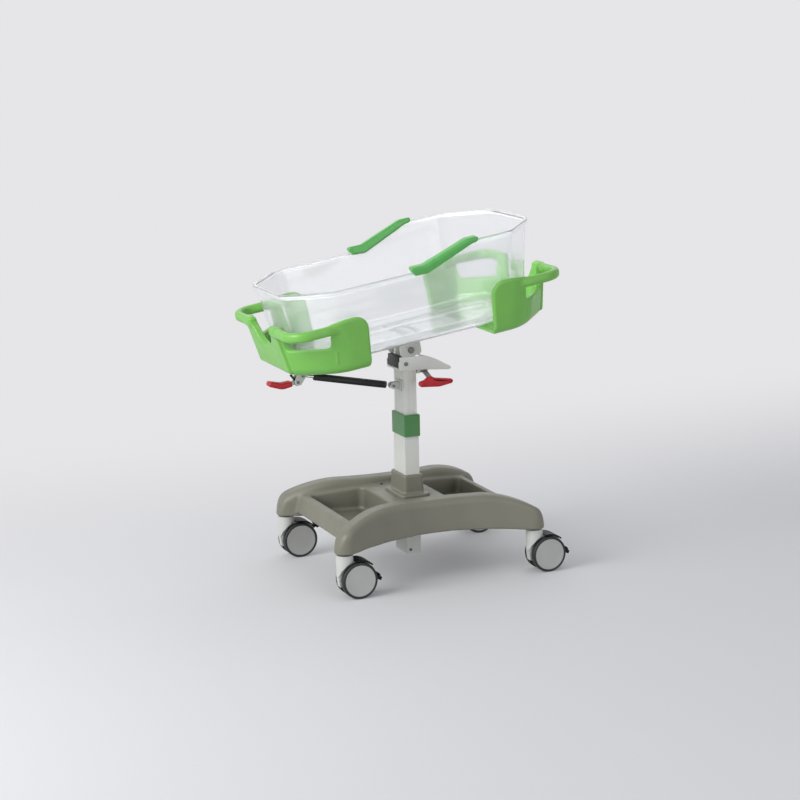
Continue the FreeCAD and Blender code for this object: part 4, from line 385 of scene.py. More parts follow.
def plastic(name, colour, roughness, grain_mm, depth_mm, cloud=0.035, ior=1.5, coat=0.0, hollow=0.0):
    """Moulded plastic: soft colour clouds, a mould grain of the size and depth, and handled patches
    where the gloss changes."""
    material, tree, output, place = new_material(name)
    shade = clouded(tree, place, colour, 70, cloud)
    # A hollow share paints shade into the hollows, worked out by ambient occlusion.
    if hollow:
        shade = with_painted_hollow_shade(tree, shade, hollow)
    grain = noise(tree, place, grain_mm, 1)
    bump = add_node(tree, "ShaderNodeBump", None, Strength=1.0, Distance=depth_mm / 1000, Height=grain)
    gloss = ranged(tree, noise(tree, place, 28, 3), roughness - 0.05, roughness + 0.05)
    shader = add_node(tree, "ShaderNodeBsdfPrincipled", None, Base_Color=shade, Roughness=gloss, IOR=ior,
                      Normal=bump.outputs[0], Coat_Weight=coat)
    tree.links.new(shader.outputs[0], output.inputs[0])
    return material


STREAK_DEPTH, PEEL_DEPTH, WAVE_DEPTH = 0.004 * MM, 0.012 * MM, 0.1 * MM


def metal(name, colour, roughness, streak_mm, metallic=1.0, smear=0.06):
    """Drawn, turned or plated metal: fine streaks along the way it was worked, of a size on each axis."""
    material, tree, output, place = new_material(name)
    scaled = add_node(tree, "ShaderNodeMapping", None, Vector=place,
                      Scale=[1000 / size for size in streak_mm]).outputs[0]
    streaks = noise(tree, scaled, 1000, 2)
    shade = clouded(tree, place, colour, 45, 0.04)
    gloss = ranged(tree, streaks, roughness - smear, roughness + smear)
    bump = add_node(tree, "ShaderNodeBump", None, Strength=0.6, Distance=STREAK_DEPTH, Height=streaks)
    shader = add_node(tree, "ShaderNodeBsdfPrincipled", None, Base_Color=shade, Roughness=gloss,
                      Metallic=metallic, Normal=bump.outputs[0])
    tree.links.new(shader.outputs[0], output.inputs[0])
    return material


def paint(name, colour, roughness, coat=0.15):
    """Powder coat or enamel on metal: a faint orange peel under an even satin gloss."""
    material, tree, output, place = new_material(name)
    shade = clouded(tree, place, colour, 90, 0.02)
    peel = noise(tree, place, 1.6, 2)
    bump = add_node(tree, "ShaderNodeBump", None, Strength=0.8, Distance=PEEL_DEPTH, Height=peel)
    gloss = ranged(tree, noise(tree, place, 40, 3), roughness - 0.03, roughness + 0.04)
    shader = add_node(tree, "ShaderNodeBsdfPrincipled", None, Base_Color=shade, Roughness=gloss,
                      Normal=bump.outputs[0], Coat_Weight=coat, Coat_Roughness=roughness)
    tree.links.new(shader.outputs[0], output.inputs[0])
    return material


def clear_acrylic(name):
    """Vacuum-formed acrylic: clear, a touch cool, with the slow waves that forming leaves in the sheet
    and a faint haze of fine scratches. Lamps reach through it."""
    material, tree, output, place = new_material(name)
    waves = noise(tree, place, 60, 2)
    bump = add_node(tree, "ShaderNodeBump", None, Strength=0.5, Distance=WAVE_DEPTH, Height=waves)
    gloss = ranged(tree, noise(tree, place, 12, 4), 0.045, 0.1)
    shader = add_node(tree, "ShaderNodeBsdfPrincipled", None, Base_Color=(0.975, 0.985, 0.99, 1), IOR=1.49,
                      Transmission_Weight=1.0, Roughness=gloss, Normal=bump.outputs[0])
    haze = add_node(tree, "ShaderNodeBsdfPrincipled", None, Base_Color=(0.88, 0.885, 0.91, 1),
                    Roughness=0.5)
    veil = add_node(tree, "ShaderNodeMixShader", None, n0=0.1, n1=shader.outputs[0], n2=haze.outputs[0])
    through = add_node(tree, "ShaderNodeBsdfTransparent", None, Color=(0.93, 0.94, 0.945, 1))
    path = add_node(tree, "ShaderNodeLightPath")
    mixed = add_node(tree, "ShaderNodeMixShader", None, n0=path.outputs["Is Shadow Ray"],
                     n1=veil.outputs[0], n2=through.outputs[0])
    tree.links.new(mixed.outputs[0], output.inputs[0])
    return material


def darkened(colour):
    """The colour a shade deeper, as a part from another mould or another batch of powder has it."""
    return [part * 0.97 for part in colour]


def build_materials(colours):
    """Every finish on the bassinet, by the slot of the record that it belongs to."""
    return {
        # Glossy moulded polyurethane skin: even colour, soft highlights, very fine grain
        "bracket_green": plastic("polyurethane_moulded_green", colours.bracket, 0.36, 0.9, 0.012, 0.04),
        # Soft PVC grip: deeper green, half matt from handling
        "grip_green": plastic("pvc_moulded_green", colours.rim_grip, 0.32, 1.1, 0.016, 0.06, coat=0.3),
        # Polypropylene collar: waxy half gloss
        "collar_green": plastic("polypropylene_moulded_green", colours.collar, 0.33, 0.8, 0.01, 0.05),
        # Nylon lever: hard, half gloss, a little worn at the thumb
        "lever_red": plastic("nylon_moulded_red", colours.lever, 0.38, 1.0, 0.012, 0.08, ior=1.45),
        # ABS cover with a spark-eroded grain: matt and slightly speckled, with painted shade darkening its
        # wells and other hollows
        "base_moulding": plastic("abs_moulded_grey", colours.cover, 0.46, 1.3, 0.05, 0.045, hollow=0.62),
        # ABS boot from a mould of its own: the same grain, a shade deeper
        "boot_grey": plastic("abs_moulded_boot_grey", darkened(colours.cover), 0.44, 1.3, 0.05, 0.045),
        # Glass-filled nylon housing: near white, half gloss
        "caster_white": plastic("nylon_moulded_white", colours.housing, 0.32, 1.0, 0.01, 0.03),
        # Acetal bush, turned and left as cut: white and waxy
        "bush_white": plastic("acetal_machined_white", linear("#D9D9D5"), 0.4, 1.0, 0.01),
        # Nylon hub face: pale grey, half matt
        "hub_grey": plastic("nylon_moulded_grey", colours.hub, 0.42, 0.9, 0.012, 0.04),
        # Polypropylene dyed black: matt, dusty grain
        "caster_black": plastic("polypropylene_moulded_black", linear("#0F1011"), 0.5, 0.8, 0.02, 0.12,
                                ior=1.28),
        # Polyurethane tread: dark, dry and dusty
        "caster_tyre": plastic("polyurethane_cast_black", linear("#232425"), 0.55, 1.4, 0.03, 0.2),
        # Powder coat on the folded guard, the outer tube, the head's casting and the carrier: satin
        "guard_white": paint("steel_powder_coated_white", [part * 1.02 for part in colours.column], 0.36),
        "outer_tube_grey": paint("aluminium_powder_coated_grey", colours.column, 0.38),
        "head_white": paint("steel_powder_coated_head", darkened(colours.column), 0.38),
        "carrier_grey": paint("steel_powder_coated_grey", linear("#B9BBB5"), 0.4),
        # Stove enamel on the hidden frame: dark grey satin
        "frame_steel": paint("steel_enamelled_dark", linear("#55585A"), 0.45),
        # Black enamel of the gas spring and, duller, of the tilt strut
        "spring_black": paint("steel_enamelled_black", linear("#151617"), 0.28),
        "strut_black": paint("steel_enamelled_black_strut", linear("#111213"), 0.48, coat=0.0),
        # Anodised aluminium: pale satin with fine drawing lines along the tube
        "inner_aluminium": metal("aluminium_anodised_drawn", colours.column, 0.42, (0.5, 0.5, 60), 0.25),
        # Bright zinc on bar and turned steel: sharp small highlights
        "lever_grey": metal("steel_zinc_plated_bar", linear("#9FA19E"), 0.34, (0.4, 0.4, 20)),
        "bright_fasteners": metal("steel_zinc_plated", linear("#6A6A65"), 0.26, (0.5, 20, 0.5)),
        "stem_steel": metal("steel_zinc_plated_stem", linear("#AEAFAB"), 0.3, (0.5, 0.5, 20)),
        # Hard chrome: a mirror with only a breath of roughness
        "rod_chrome": metal("steel_hard_chromed", linear("#C9CACB"), 0.08, (20, 0.5, 0.5), smear=0.03),
        "tub_clear": clear_acrylic("acrylic_vacuum_formed"),
    }


FINISHES = {}


def finish_for(slot):
    """The finish of a slot, made once."""
    if not FINISHES:
        FINISHES.update(build_materials(bpy.context.scene.bassinet_colours))
    return FINISHES[slot]


# ------------------------------------------------------------------ CAD nodes
EDGE_WIDTHS = {                 # how wide a piece's sharp edges are rounded, in millimetres
    "collar": 1.2, "column_head": 1.2, "carrier_frame": 0.9, "outer_tube": 1.8, "inner_tube": 0.35,
    "strut_bracket": 0.7, "base_frame": 1.0,
}
CASTER_EDGES = {"housing": 1.6, "guard": 0.9, "pedal": 1.6}
PLAIN_EDGE = 0.3                # any other piece


def edge_width(name):
    """How wide the piece's edges are rounded, in millimetres."""
    last = name.rsplit("_", 1)[-1]
    if "_caster_" in name:
        return CASTER_EDGES.get(last, PLAIN_EDGE)
    return EDGE_WIDTHS.get(name, PLAIN_EDGE)


def round_edges(node, width_mm):
    """Joins the loose triangles of a node, rounds its sharp edges, and lets its flat faces keep their
    shading."""
    weld = node.modifiers.new("Joined", "WELD")
    weld.merge_threshold = 0.02 * MM
    bevel = node.modifiers.new("Rounded", "BEVEL")
    bevel.width = width_mm / 1000
    bevel.segments = 3
    bevel.limit_method = "ANGLE"
    bevel.angle_limit = math.radians(33)
    bevel.use_clamp_overlap = True
    node.modifiers.new("Shading", "WEIGHTED_NORMAL")


def dress_nodes():
    """Gives each CAD node the finish of its slot and its soft edges."""
    for name, node in frame["nodes"].items():
        slot = node.data.materials[0].name.split(".")[0]
        node.data.materials.clear()
        node.data.materials.append(finish_for(slot))
        if node.visible_get():
            round_edges(node, edge_width(name))


# ------------------------------------------------------------------ the tub
FLOOR, WALL, LOW_RIM, HIGH_RIM = 52 * MM, 4 * MM, 250 * MM, 301 * MM        # levels above the pivot
FLOOR_HALF_LENGTH, FLOOR_HALF_WIDTH = 336 * MM, 192 * MM
CUT_LOW, CUT_HIGH, END_LOW, END_HIGH = 98, 109, 105, 115        # cut corners and ends, in millimetres
STEP_LOW, STEP_HIGH, STEP_SOFT = 8 * MM, 140 * MM, 14 * MM      # where the rim slopes, and its soft bends
LIP_WIDTH, LIP_HEIGHT, LIP_SHEET = 6 * MM, 14 * MM, 4.5 * MM
WALL_START, WALL_END, WALL_ROWS = 0.09, 0.955, 72               # the wall's rows between floor and lip
FLOOR_GAPS = (20 * MM, 8 * MM)                                  # how far the floor's rings lie inside it
DRAFT = math.tan(math.radians(8.03))
BEAD_LEVELS = np.array([80, 112, 144]) * MM
BEAD_PROUD, BEAD_SPREAD, BEAD_HALF, BEAD_FADE = 2.2 * MM, 2.48 * MM, 172 * MM, 8 * MM


def tub_corners(level):
    """The tub's eight corners at a level: each side leans out by the draft, and the cut corners widen."""
    share = (level - FLOOR) / (HIGH_RIM - FLOOR)
    half_length = FLOOR_HALF_LENGTH + DRAFT * (level - FLOOR)
    half_width = FLOOR_HALF_WIDTH + DRAFT * (level - FLOOR)
    cut = (CUT_LOW + share * (CUT_HIGH - CUT_LOW)) * MM
    end = (END_LOW + share * (END_HIGH - END_LOW)) * MM
    return [(half_length, -end), (half_length, end), (half_length - cut, half_width),
            (-half_length + cut, half_width), (-half_length, end), (-half_length, -end),
            (-half_length + cut, -half_width), (half_length - cut, -half_width)]


def rim_level(along):
    """The rim's height: low at the foot, high at the head, straight between, its two bends averaged
    over a short length so that they are soft."""
    spread = np.linspace(-STEP_SOFT, STEP_SOFT, 15)
    share = np.clip((along[..., None] + spread - STEP_LOW) / (STEP_HIGH - STEP_LOW), 0, 1)
    return LOW_RIM + (HIGH_RIM - LOW_RIM) * share.mean(-1)


def arc_rows(out, share, rise, radius, first, last, steps):
    """Rows of the tub's profile along an arc round (out, rise), between two angles in degrees."""
    return [(across, share, up) for across, up in arc_points((out, rise), radius, first, last, steps)]


def tub_profile(sizes):
    """The wall's profile as rows of (distance out of the wall's outer face, share of the way from floor
    to rim, distance above that level), from the middle of the inner floor round to the outer floor."""
    inner, outer, lip = sizes.floor_round, sizes.floor_round + WALL, sizes.lip_round
    climb = np.linspace(WALL_START, WALL_END, WALL_ROWS)
    rows = [(-WALL - inner - gap, 0, WALL) for gap in FLOOR_GAPS]
    rows += arc_rows(-WALL - inner, 0, WALL + inner, inner, -90, 0, 9)
    rows += [(-WALL, share, 0) for share in climb]
    rows += arc_rows(2 * lip - WALL, 1, -2 * lip, 2 * lip, 180, 90, 5)
    rows += arc_rows(LIP_WIDTH - lip, 1, -lip, lip, 90, 0, 6)
    rows += arc_rows(LIP_WIDTH - lip, 1, lip - LIP_HEIGHT, lip, 0, -180, 8)
    rows += [(LIP_WIDTH - 2 * lip, 1, -LIP_SHEET - 2 * MM), (1.2 * MM, 1, -LIP_SHEET),
             (0, 1, -LIP_SHEET - 2.5 * MM)]
    rows += [(0, share, 0) for share in climb[::-1]]
    rows += arc_rows(-outer, 0, outer, outer, 0, -90, 9)
    rows += [(-outer - gap, 0, 0) for gap in FLOOR_GAPS[::-1]]
    return np.array(rows)


def subdivided(low, high, normals, spacing):
    """Two outlines with as many points, and the normals: points are added to both at the same shares,
    so that the low one's lie no further apart than the spacing."""
    along = np.linalg.norm(np.roll(low, -1, 0) - low, axis=1)
    parts = np.maximum(1, np.ceil(along / spacing).astype(int))
    index = np.repeat(np.arange(len(low)), parts)
    start = np.repeat(np.cumsum(parts) - parts, parts)
    share = ((np.arange(len(index)) - start) / np.repeat(parts, parts))[:, None]
    after = (index + 1) % len(low)
    low, high, normals = (rows[index] * (1 - share) + rows[after] * share for rows in (low, high, normals))
    return low, high, unit(normals)


def make_tub():
    """The clear tub: its wall's profile carried round the eight-sided outline.

    A point stands on the outline of its own level, moved out along the outline's normal by the
    profile's distance. Level = floor + share * (rim - floor) + rise. On the long sides three beads
    push the wall out by a rounded bump at their levels.
    """
    sizes = bpy.context.scene.bassinet_sizes
    low, normals = rounded_outline(tub_corners(FLOOR), sizes.tub_corner, 9)
    high = rounded_outline(tub_corners(HIGH_RIM), sizes.tub_corner, 9)[0]
    low, high, normals = subdivided(low, high, normals, 9 * MM)
    rows = tub_profile(sizes)
    rim = rim_level(high[:, 0])
    level = FLOOR + rows[:, 1][:, None] * (rim[None] - FLOOR) + rows[:, 2][:, None]
    climb = ((level - FLOOR) / (HIGH_RIM - FLOOR))[..., None]
    flat = low[None] * (1 - climb) + high[None] * climb
    bump = np.exp(-((level[..., None] - BEAD_LEVELS) / BEAD_SPREAD) ** 2).sum(-1)
    side = (np.abs(normals[:, 1]) > 0.99)[None]
    length = np.clip((BEAD_HALF - np.abs(flat[..., 0])) / BEAD_FADE, 0, 1)
    wall = ((rows[:, 1] > 0) & (rows[:, 1] < 1))[:, None]
    out = rows[:, 0][:, None] + BEAD_PROUD * bump * side * wall * length * length * (3 - 2 * length)
    flat = flat + normals[None] * out[..., None]
    rings = on_tub(np.concatenate([flat, level[..., None]], -1))
    make_piece("clear_tub", [skin(rings)], "cradle", "tub_clear", ["tub"])


GRIP_HALF_WIDTH = 13 * MM


def make_rim_grips():
    """The two grips on the sloping rim: a long rounded block whose outline bends with the rim.

    The outline in the plane of the side wall has soft bends, and is carried across the rim with both
    faces drawn in along quarter circles. The whole leans out with the wall.
    """
    edge = bpy.context.scene.bassinet_sizes.grip_round
    corners = np.array([(-26, 242), (11, 240), (146, 293), (164, 296), (167, 310), (132, 310),
                        (4, 266), (-40, 266.5)]) * MM
    radii = np.array([8, 30, 30, 6, 6, 26, 26, 6]) * MM
    outline, normals = evened(*rounded_outline(corners, radii, 7), 4 * MM)
    rings = pillow(outline, normals, -GRIP_HALF_WIDTH, GRIP_HALF_WIDTH, edge, 7)
    middle = (LOW_RIM + HIGH_RIM) / 2
    across = FLOOR_HALF_WIDTH + DRAFT * (middle - FLOOR) + 1 * MM
    lean = math.atan(DRAFT)
    for side, sign in (("near", -1), ("far", 1)):
        out = rings[..., 2]
        rise = rings[..., 1] - middle
        spots = np.stack([
            rings[..., 0],
            sign * (across + out * math.cos(lean) + rise * math.sin(lean)),
            middle + rise * math.cos(lean) - out * math.sin(lean),
        ], -1)
        name = "rim_grip_" + side
        make_piece(name + "_moulded", [skin(on_tub(spots))], "cradle", "grip_green", [name])


# ------------------------------------------------------------------ levers and strut
LIFT_GRIP_Y, LIFT_GRIP_HALF, TILT_GRIP_HALF = -95 * MM, 11 * MM, 15 * MM


def upright_block(outline, normals, low, high, edge, steps):
    """A block whose outline stands in the plane of X and Z, reaching from low to high along Y."""
    return placed(pillow(outline, normals, low, high, edge, steps), (0, 0, 0), X_WAY, Z_WAY, Y_WAY)


def make_levers():
    """The two red release grips: rounded blocks whose outlines follow a hand's grip."""
    edge = bpy.context.scene.bassinet_sizes.lever_round
    corners = np.array([(5, 526), (60, 522.5), (97, 529), (102, 535.5), (98, 541), (80, 543.5),
                        (50, 547.5), (36, 553.5), (27, 551), (18, 543.5), (4, 540), (1, 533)]) * MM
    corners[:, 0] += COLUMN_X
    radii = np.array([5, 40, 6, 4, 4, 20, 20, 5, 5, 12, 4, 4]) * MM
    outline, normals = evened(*rounded_outline(corners, radii, 7), 3 * MM)
    rings = upright_block(outline, normals, LIFT_GRIP_Y - LIFT_GRIP_HALF, LIFT_GRIP_Y + LIFT_GRIP_HALF,
                          edge * 0.95, 7)
    make_piece("lift_grip_moulded", [skin(rings)], "lift_release", "lever_red", ["lift_grip"])
    corners = np.array([(-343, -11), (-370, -10), (-405, 3), (-411, -9), (-374, -27), (-343, -25)]) * MM
    radii = np.array([4, 40, 5, 5, 40, 4]) * MM
    outline, normals = evened(*rounded_outline(corners, radii, 7), 3 * MM)
    rings = upright_block(outline, normals, -TILT_GRIP_HALF, TILT_GRIP_HALF, edge * 0.6, 7)
    make_piece("tilt_grip_moulded", [skin(on_tub(rings))], "tilt_release", "lever_red", ["tilt_grip"])


BLADE_OUTER, BLADE_INNER, HOOD_NEAR, HOOD_FAR = -48.4 * MM, -46.2 * MM, -47 * MM, -6.4 * MM
# Half the width of the dark block that paints the shade in the head's open back
BLOCK_HALF = 37 * MM


def make_guard():
    """The lever guard: a folded sheet, its side blade rounded at the tip and its hood bent over the
    lever."""
    shift = np.array([COLUMN_X, 0])
    corners = np.array([(-35.5, 603.5), (-35.5, 566), (31, 564), (112, 557), (119.5, 560), (118, 566),
                        (74, 590), (31, 603.5)]) * MM
    radii = np.array([2, 3, 60, 5, 2.5, 4, 40, 20]) * MM
    outline, normals = evened(*rounded_outline(corners + shift, radii, 7), 5 * MM)
    blade = upright_block(outline, normals, BLADE_OUTER, BLADE_INNER, 0.8 * MM, 4)
    path = np.array([(117, 564.6), (74, 587.8), (31, 601.2)])
    sheet = np.vstack([path + (0, -0.2), path[::-1] + (0, 2.1)]) * MM
    radii = np.array([0.4, 40, 0.4, 0.4, 40, 0.4]) * MM
    outline, normals = evened(*rounded_outline(sheet[::-1] + shift, radii, 7), 5 * MM)
    hood = upright_block(outline, normals, HOOD_NEAR, HOOD_FAR, 0.4 * MM, 3)
    make_piece("lever_guard_folded", [skin(blade), skin(hood)], "lift", "guard_white", ["lever_guard"],
               sharp=45)


def make_painted_shadow_block():
    """The dark block in the open back of the column head, where the release cables would be clamped."""
    corners = np.array([(-35, 571.5), (-19.5, 571.5), (-19.5, 603), (-35, 603)]) * MM
    corners[:, 0] += COLUMN_X
    outline, normals = evened(*rounded_outline(corners, np.full(4, 1.5) * MM, 4), 4 * MM)
    rings = upright_block(outline, normals, -BLOCK_HALF, BLOCK_HALF, 1 * MM, 3)
    make_piece("cable_block", [skin(rings)], "lift", "strut_black", sharp=45)


def make_strut():
    """The black cylinder of the tilt strut: a long turned profile with rolled ends, as rows of
    (radius, distance from the strut's near pin)."""
    way = np.array(JOINTS["strut_stroke"]["axis"], float)
    start = np.array(JOINTS["strut_swing"]["pos_m"], float)
    profile = np.array([(4.2, 20), (8.2, 20), (9.4, 20.5), (10, 21.8), (10, 27), (9.4, 28), (9.4, 30),
                        (10, 31), (10, 224), (9.4, 225), (9.4, 227), (10, 228), (10, 233.5),
                        (9.4, 235.3), (8, 236), (4.2, 236)]) * MM
    radius, along = profile.T[:, :, None, None]
    angle = np.linspace(0, 2 * math.pi, 64, endpoint=False)[:, None]
    spokes = np.cos(angle) * Y_WAY + np.sin(angle) * np.cross(way, Y_WAY)
    make_piece("strut_cylinder_sleeve", [skin(start + along * way + radius * spokes)], "strut_outer",
               "strut_black", ["strut_cylinder"], sharp=40)


# ------------------------------------------------------------------ base, in millimetres
ARM_HALF, ARM_WIDTH, ARM_BOW, ARM_END_Y = 280, 62, 68, 227      # the arms' arcs in plan
ARM_RADIUS = (ARM_HALF ** 2 + ARM_BOW ** 2) / (2 * ARM_BOW)
ARM_CREST = (((150, 227), (235, 209), (285, 185)), ((285, 185), (301, 170.5), (311, 148)))
ARM_FOOT, ARM_ARCH, ARM_ARCH_HALF = 125.5, 135, 255
TRAY_TOP, TRAY_END, TRAY_FLAT, TRAY_HALF, TRAY_FOOT, TRAY_FOOT_HALF = 208, 187, 48, 254, 138, 266
WELL_NEAR, WELL_FAR, WELL_SIDE, WELL_FLOOR, WELL_WALL, WELL_DRAFT = 84, 232, 11, 142, 9, 0.06
COVER_HOLE = (22.5, 41.5)                                       # half the column's hole, along and across
BASE_LOW, BASE_HIGH = np.array([-318, -264, 120]), np.array([318, 264, 234])


def arm_line(along):
    """How far an arm's centre line stands from the middle of the base."""
    return ARM_END_Y - ARM_BOW + ARM_RADIUS - np.sqrt(ARM_RADIUS ** 2 - np.minimum(along, 400) ** 2)


def arc_through(first, middle, last, steps=12):
    """Points along the circle's arc through three points: its centre is where two bisectors meet."""
    spots = np.array([first, middle, last], float)
    sides = spots[1:] - spots[0]
    centre = spots[0] + np.linalg.solve(sides, (sides ** 2).sum(1) / 2)
    turns = np.arctan2(*(spots[[0, 2]] - centre).T[::-1])
    angle = np.linspace(*turns, steps)
    radius = np.linalg.norm(spots[0] - centre)
    return centre + radius * np.stack([np.cos(angle), np.sin(angle)], -1)


def arm_field(along, across, up):
    """Signed distance to an arm: a band along its arc with round ends, under a crest that falls
    towards both ends, its upper edges well rounded, over a slightly arched underside."""
    centre = ARM_END_Y - ARM_BOW + ARM_RADIUS
    beside = np.abs(np.hypot(along, across - centre) - ARM_RADIUS)
    past, aside = along - ARM_HALF, across - ARM_END_Y
    at_end = past * (centre - ARM_END_Y) + aside * ARM_HALF > 0
    plan = np.where(at_end, np.hypot(past, aside), beside) - ARM_WIDTH / 2
    line = np.vstack([arc_through(*corners) for corners in ARM_CREST])
    crest = np.interp(along, *line.T)
    slope = (np.interp(along + 3, *line.T) - np.interp(along - 3, *line.T)) / 6
    over = (up - crest) / np.hypot(1, slope)
    arch = ARM_ARCH - (ARM_ARCH - ARM_FOOT) * np.minimum(along / ARM_ARCH_HALF, 1) ** 2
    shoulder = bpy.context.scene.bassinet_sizes.arm_round / MM
    return rounded_both(rounded_both(plan, over, shoulder), arch - up, 3)


def tray_top(along):
    """The tray's height: level beside the column, then falling by the share of the way to its ends,
    raised to the power 1.4."""
    share = np.clip((along - TRAY_FLAT) / (TRAY_HALF - TRAY_FLAT), 0, 1.2)
    return TRAY_TOP - (TRAY_TOP - TRAY_END) * share ** 1.4


def tray_field(along, across, up):
    """Signed distance to the tray between the arms: a falling top, leaning ends, a level underside."""
    lean = (TRAY_FOOT_HALF - TRAY_HALF) / (TRAY_END - TRAY_FOOT)
    end = (along - TRAY_HALF - (TRAY_END - up) * lean) / math.hypot(1, lean)
    top = rounded_both(end, up - tray_top(along), 7)
    return np.maximum(np.maximum(top, TRAY_FOOT - up), across - arm_line(along))


def well_field(along, across, up):
    """Signed distance to a storage well: rounded corners, walls that draw in downwards, a soft floor."""
    draft = WELL_DRAFT * (tray_top(along) - up)
    side = arm_line(along) - ARM_WIDTH / 2 - WELL_SIDE
    ends = np.maximum(along - WELL_FAR, WELL_NEAR - along)
    plan = rounded_both(ends + draft, across - side + draft, 18)
    return rounded_both(plan, WELL_FLOOR - up, 10)


def make_moulding(name, field, low, high, step, slot, stands_for):
    """A moulding of the base round the column: the surface of a field of distances over a grid.

    It is alike on all four quarters, so the field takes |along|, |across| and the height.
    """
    along, across, up = grid_over(low, high, step)
    points, faces = surface_of(field(np.abs(along), np.abs(across), up), low, step)
    points = points * MM + np.array([COLUMN_X, 0, 0])
    make_piece(name, [(points, faces)], "base", slot, [stands_for])


def cover_field(along, across, up):
    """Signed distance to the base cover: arms and tray blended together, less the wells and the
    column's hole. A well's wall reaches below the tray as a cup."""
    body = blended(arm_field(along, across, up), tray_field(along, across, up), 8)
    well = well_field(along, across, up)
    body = np.minimum(body, np.maximum(well - WELL_WALL, up - WELL_FLOOR))
    body = without(body, well, 4)
    hole = np.maximum(along - COVER_HOLE[0], across - COVER_HOLE[1])
    return np.maximum(body, -hole)


def make_base():
    """The moulded base cover."""
    step = bpy.context.scene.bassinet_sizes.cover_grain / MM
    make_moulding("base_cover_moulded", cover_field, BASE_LOW, BASE_HIGH, step, "base_moulding",
                  "base_cover")


BOOT_HALF, BOOT_TOP, BOOT_LEAN = (29, 51), 268, 0.03
FLANGE_HALF, FLANGE_TOP, FLANGE_FOOT = (44, 66), 216, 206.3
BOOT_HOLE, BOOT_GRAIN = (21.2, 40.2), 1.6
BOOT_LOW, BOOT_HIGH = np.array([-50, -72, 203]), np.array([50, 72, 273])


def boot_field(along, across, up):
    """Signed distance to the boot: an upright block blended into a soft flange, less the column's hole."""
    lean = BOOT_LEAN * (BOOT_TOP - up)
    block = rounded_both(along - BOOT_HALF[0] - lean, across - BOOT_HALF[1] - lean, 9)
    block = rounded_both(block, up - BOOT_TOP, 4)
    flange = rounded_both(along - FLANGE_HALF[0], across - FLANGE_HALF[1], 14)
    flange = rounded_both(flange, up - FLANGE_TOP, 5)
    hole = np.maximum(along - BOOT_HOLE[0], across - BOOT_HOLE[1])
    return np.maximum(np.maximum(blended(block, flange, 7), FLANGE_FOOT - up), -hole)


def make_boot():
    """The boot round the column's foot."""
    make_moulding("column_boot_moulded", boot_field, BOOT_LOW, BOOT_HIGH, BOOT_GRAIN, "boot_grey",
                  "column_boot")


# ------------------------------------------------------------------ end brackets, in millimetres
SHELL_FOOT, SHELL_SHELF, SHELL_SILL, SHELL_TOP, SHELL_CREST = 26, 8, 103, 168, 176     # heights
SHELL_REACH, SHELL_HALF, SHELL_WALL, SHELL_FREE = 375.5, 221, 18, 182
SHELL_CUT, SHELL_END, SHELL_LEAN = 103, 115, math.tan(math.radians(10.8))
WINDOW_START, WINDOW_SIDE = 288, 122
NOTCH_SILL, NOTCH_TOP, NOTCH_LEVEL, NOTCH_INNER = 40, 77, 156, 300
NOTCH_SLANT = 0.82                                      # distance to the notch's side, per distance across
CREST_START, CREST_LENGTH = 236, 66                     # where the cheek's top falls towards the end
PLATE_PROUD, PLATE_DEPTH, PLATE_FOOT = 2.4, 9, 34       # the end's plate, proud of its sloping corners
BAR_REACH, BAR_HALF, BAR_CORNER, BAR_WIDTH, BAR_FOOT = 406, 249, 64, 22, 141
BAR_START, BAR_SINK, BAR_SINK_FROM, BAR_SINK_LENGTH = 248, 9, 312, 50
RIB_X, RIB_FOOT, RIB_TOP, RIB_RADIUS, RIB_SUNK, RIB_INNER = 276, 60, 93, 4, 1.5, 60
SLOT_NEAR, SLOT_FAR, SLOT_HALF, SLOT_TOP = 284, 350, 22, 40     # in the shelf, for the tilt lever
BRACKET_LOW, BRACKET_HIGH = np.array([174, -258, 20]), np.array([414, 258, 184])


def bracket_sides(along, across, up):
    """Signed distances to a bracket's leaning planes: its end, its cut corner and its side."""
    rise = SHELL_LEAN * (up - SHELL_FOOT)
    upright = 1 / math.hypot(1, SHELL_LEAN)
    end, side = along - SHELL_REACH - rise, across - SHELL_HALF - rise
    turn = SHELL_HALF + rise - SHELL_END
    corner = (turn * end + SHELL_CUT * (across - SHELL_END)) / np.hypot(turn, SHELL_CUT)
    return end * upright, corner * upright, side * upright


def bar_field(along, across, up):
    """Signed distance to the carrying bar: a soft-edged band along a rounded rectangle's outline, which
    sinks into the cheek towards its free end."""
    sunk = BAR_SINK * np.clip((BAR_SINK_FROM - along) / BAR_SINK_LENGTH, 0, 1) ** 2
    past, aside = along - BAR_REACH + BAR_CORNER, across + sunk - BAR_HALF + BAR_CORNER
    ring = np.hypot(np.maximum(past, 0), np.maximum(aside, 0)) + np.minimum(np.maximum(past, aside), 0)
    ring -= BAR_CORNER
    middle, half = (BAR_FOOT + SHELL_TOP) / 2, (SHELL_TOP - BAR_FOOT) / 2
    bar = rounded_both(np.abs(ring + BAR_WIDTH / 2) - BAR_WIDTH / 2, np.abs(up - middle) - half, 10)
    return rounded_both(rounded_both(bar, NOTCH_TOP - across, 7), BAR_START - along, 9)


def outer_field(along, across, up):
    """Signed distance to a bracket's outer form: its leaning planes, with large round corners and a
    well rounded foot."""
    end, corner, side = bracket_sides(along, across, up)
    outer = rounded_both(rounded_both(end, corner, 14), side, 40)
    return rounded_both(outer, SHELL_FOOT - up, 24)


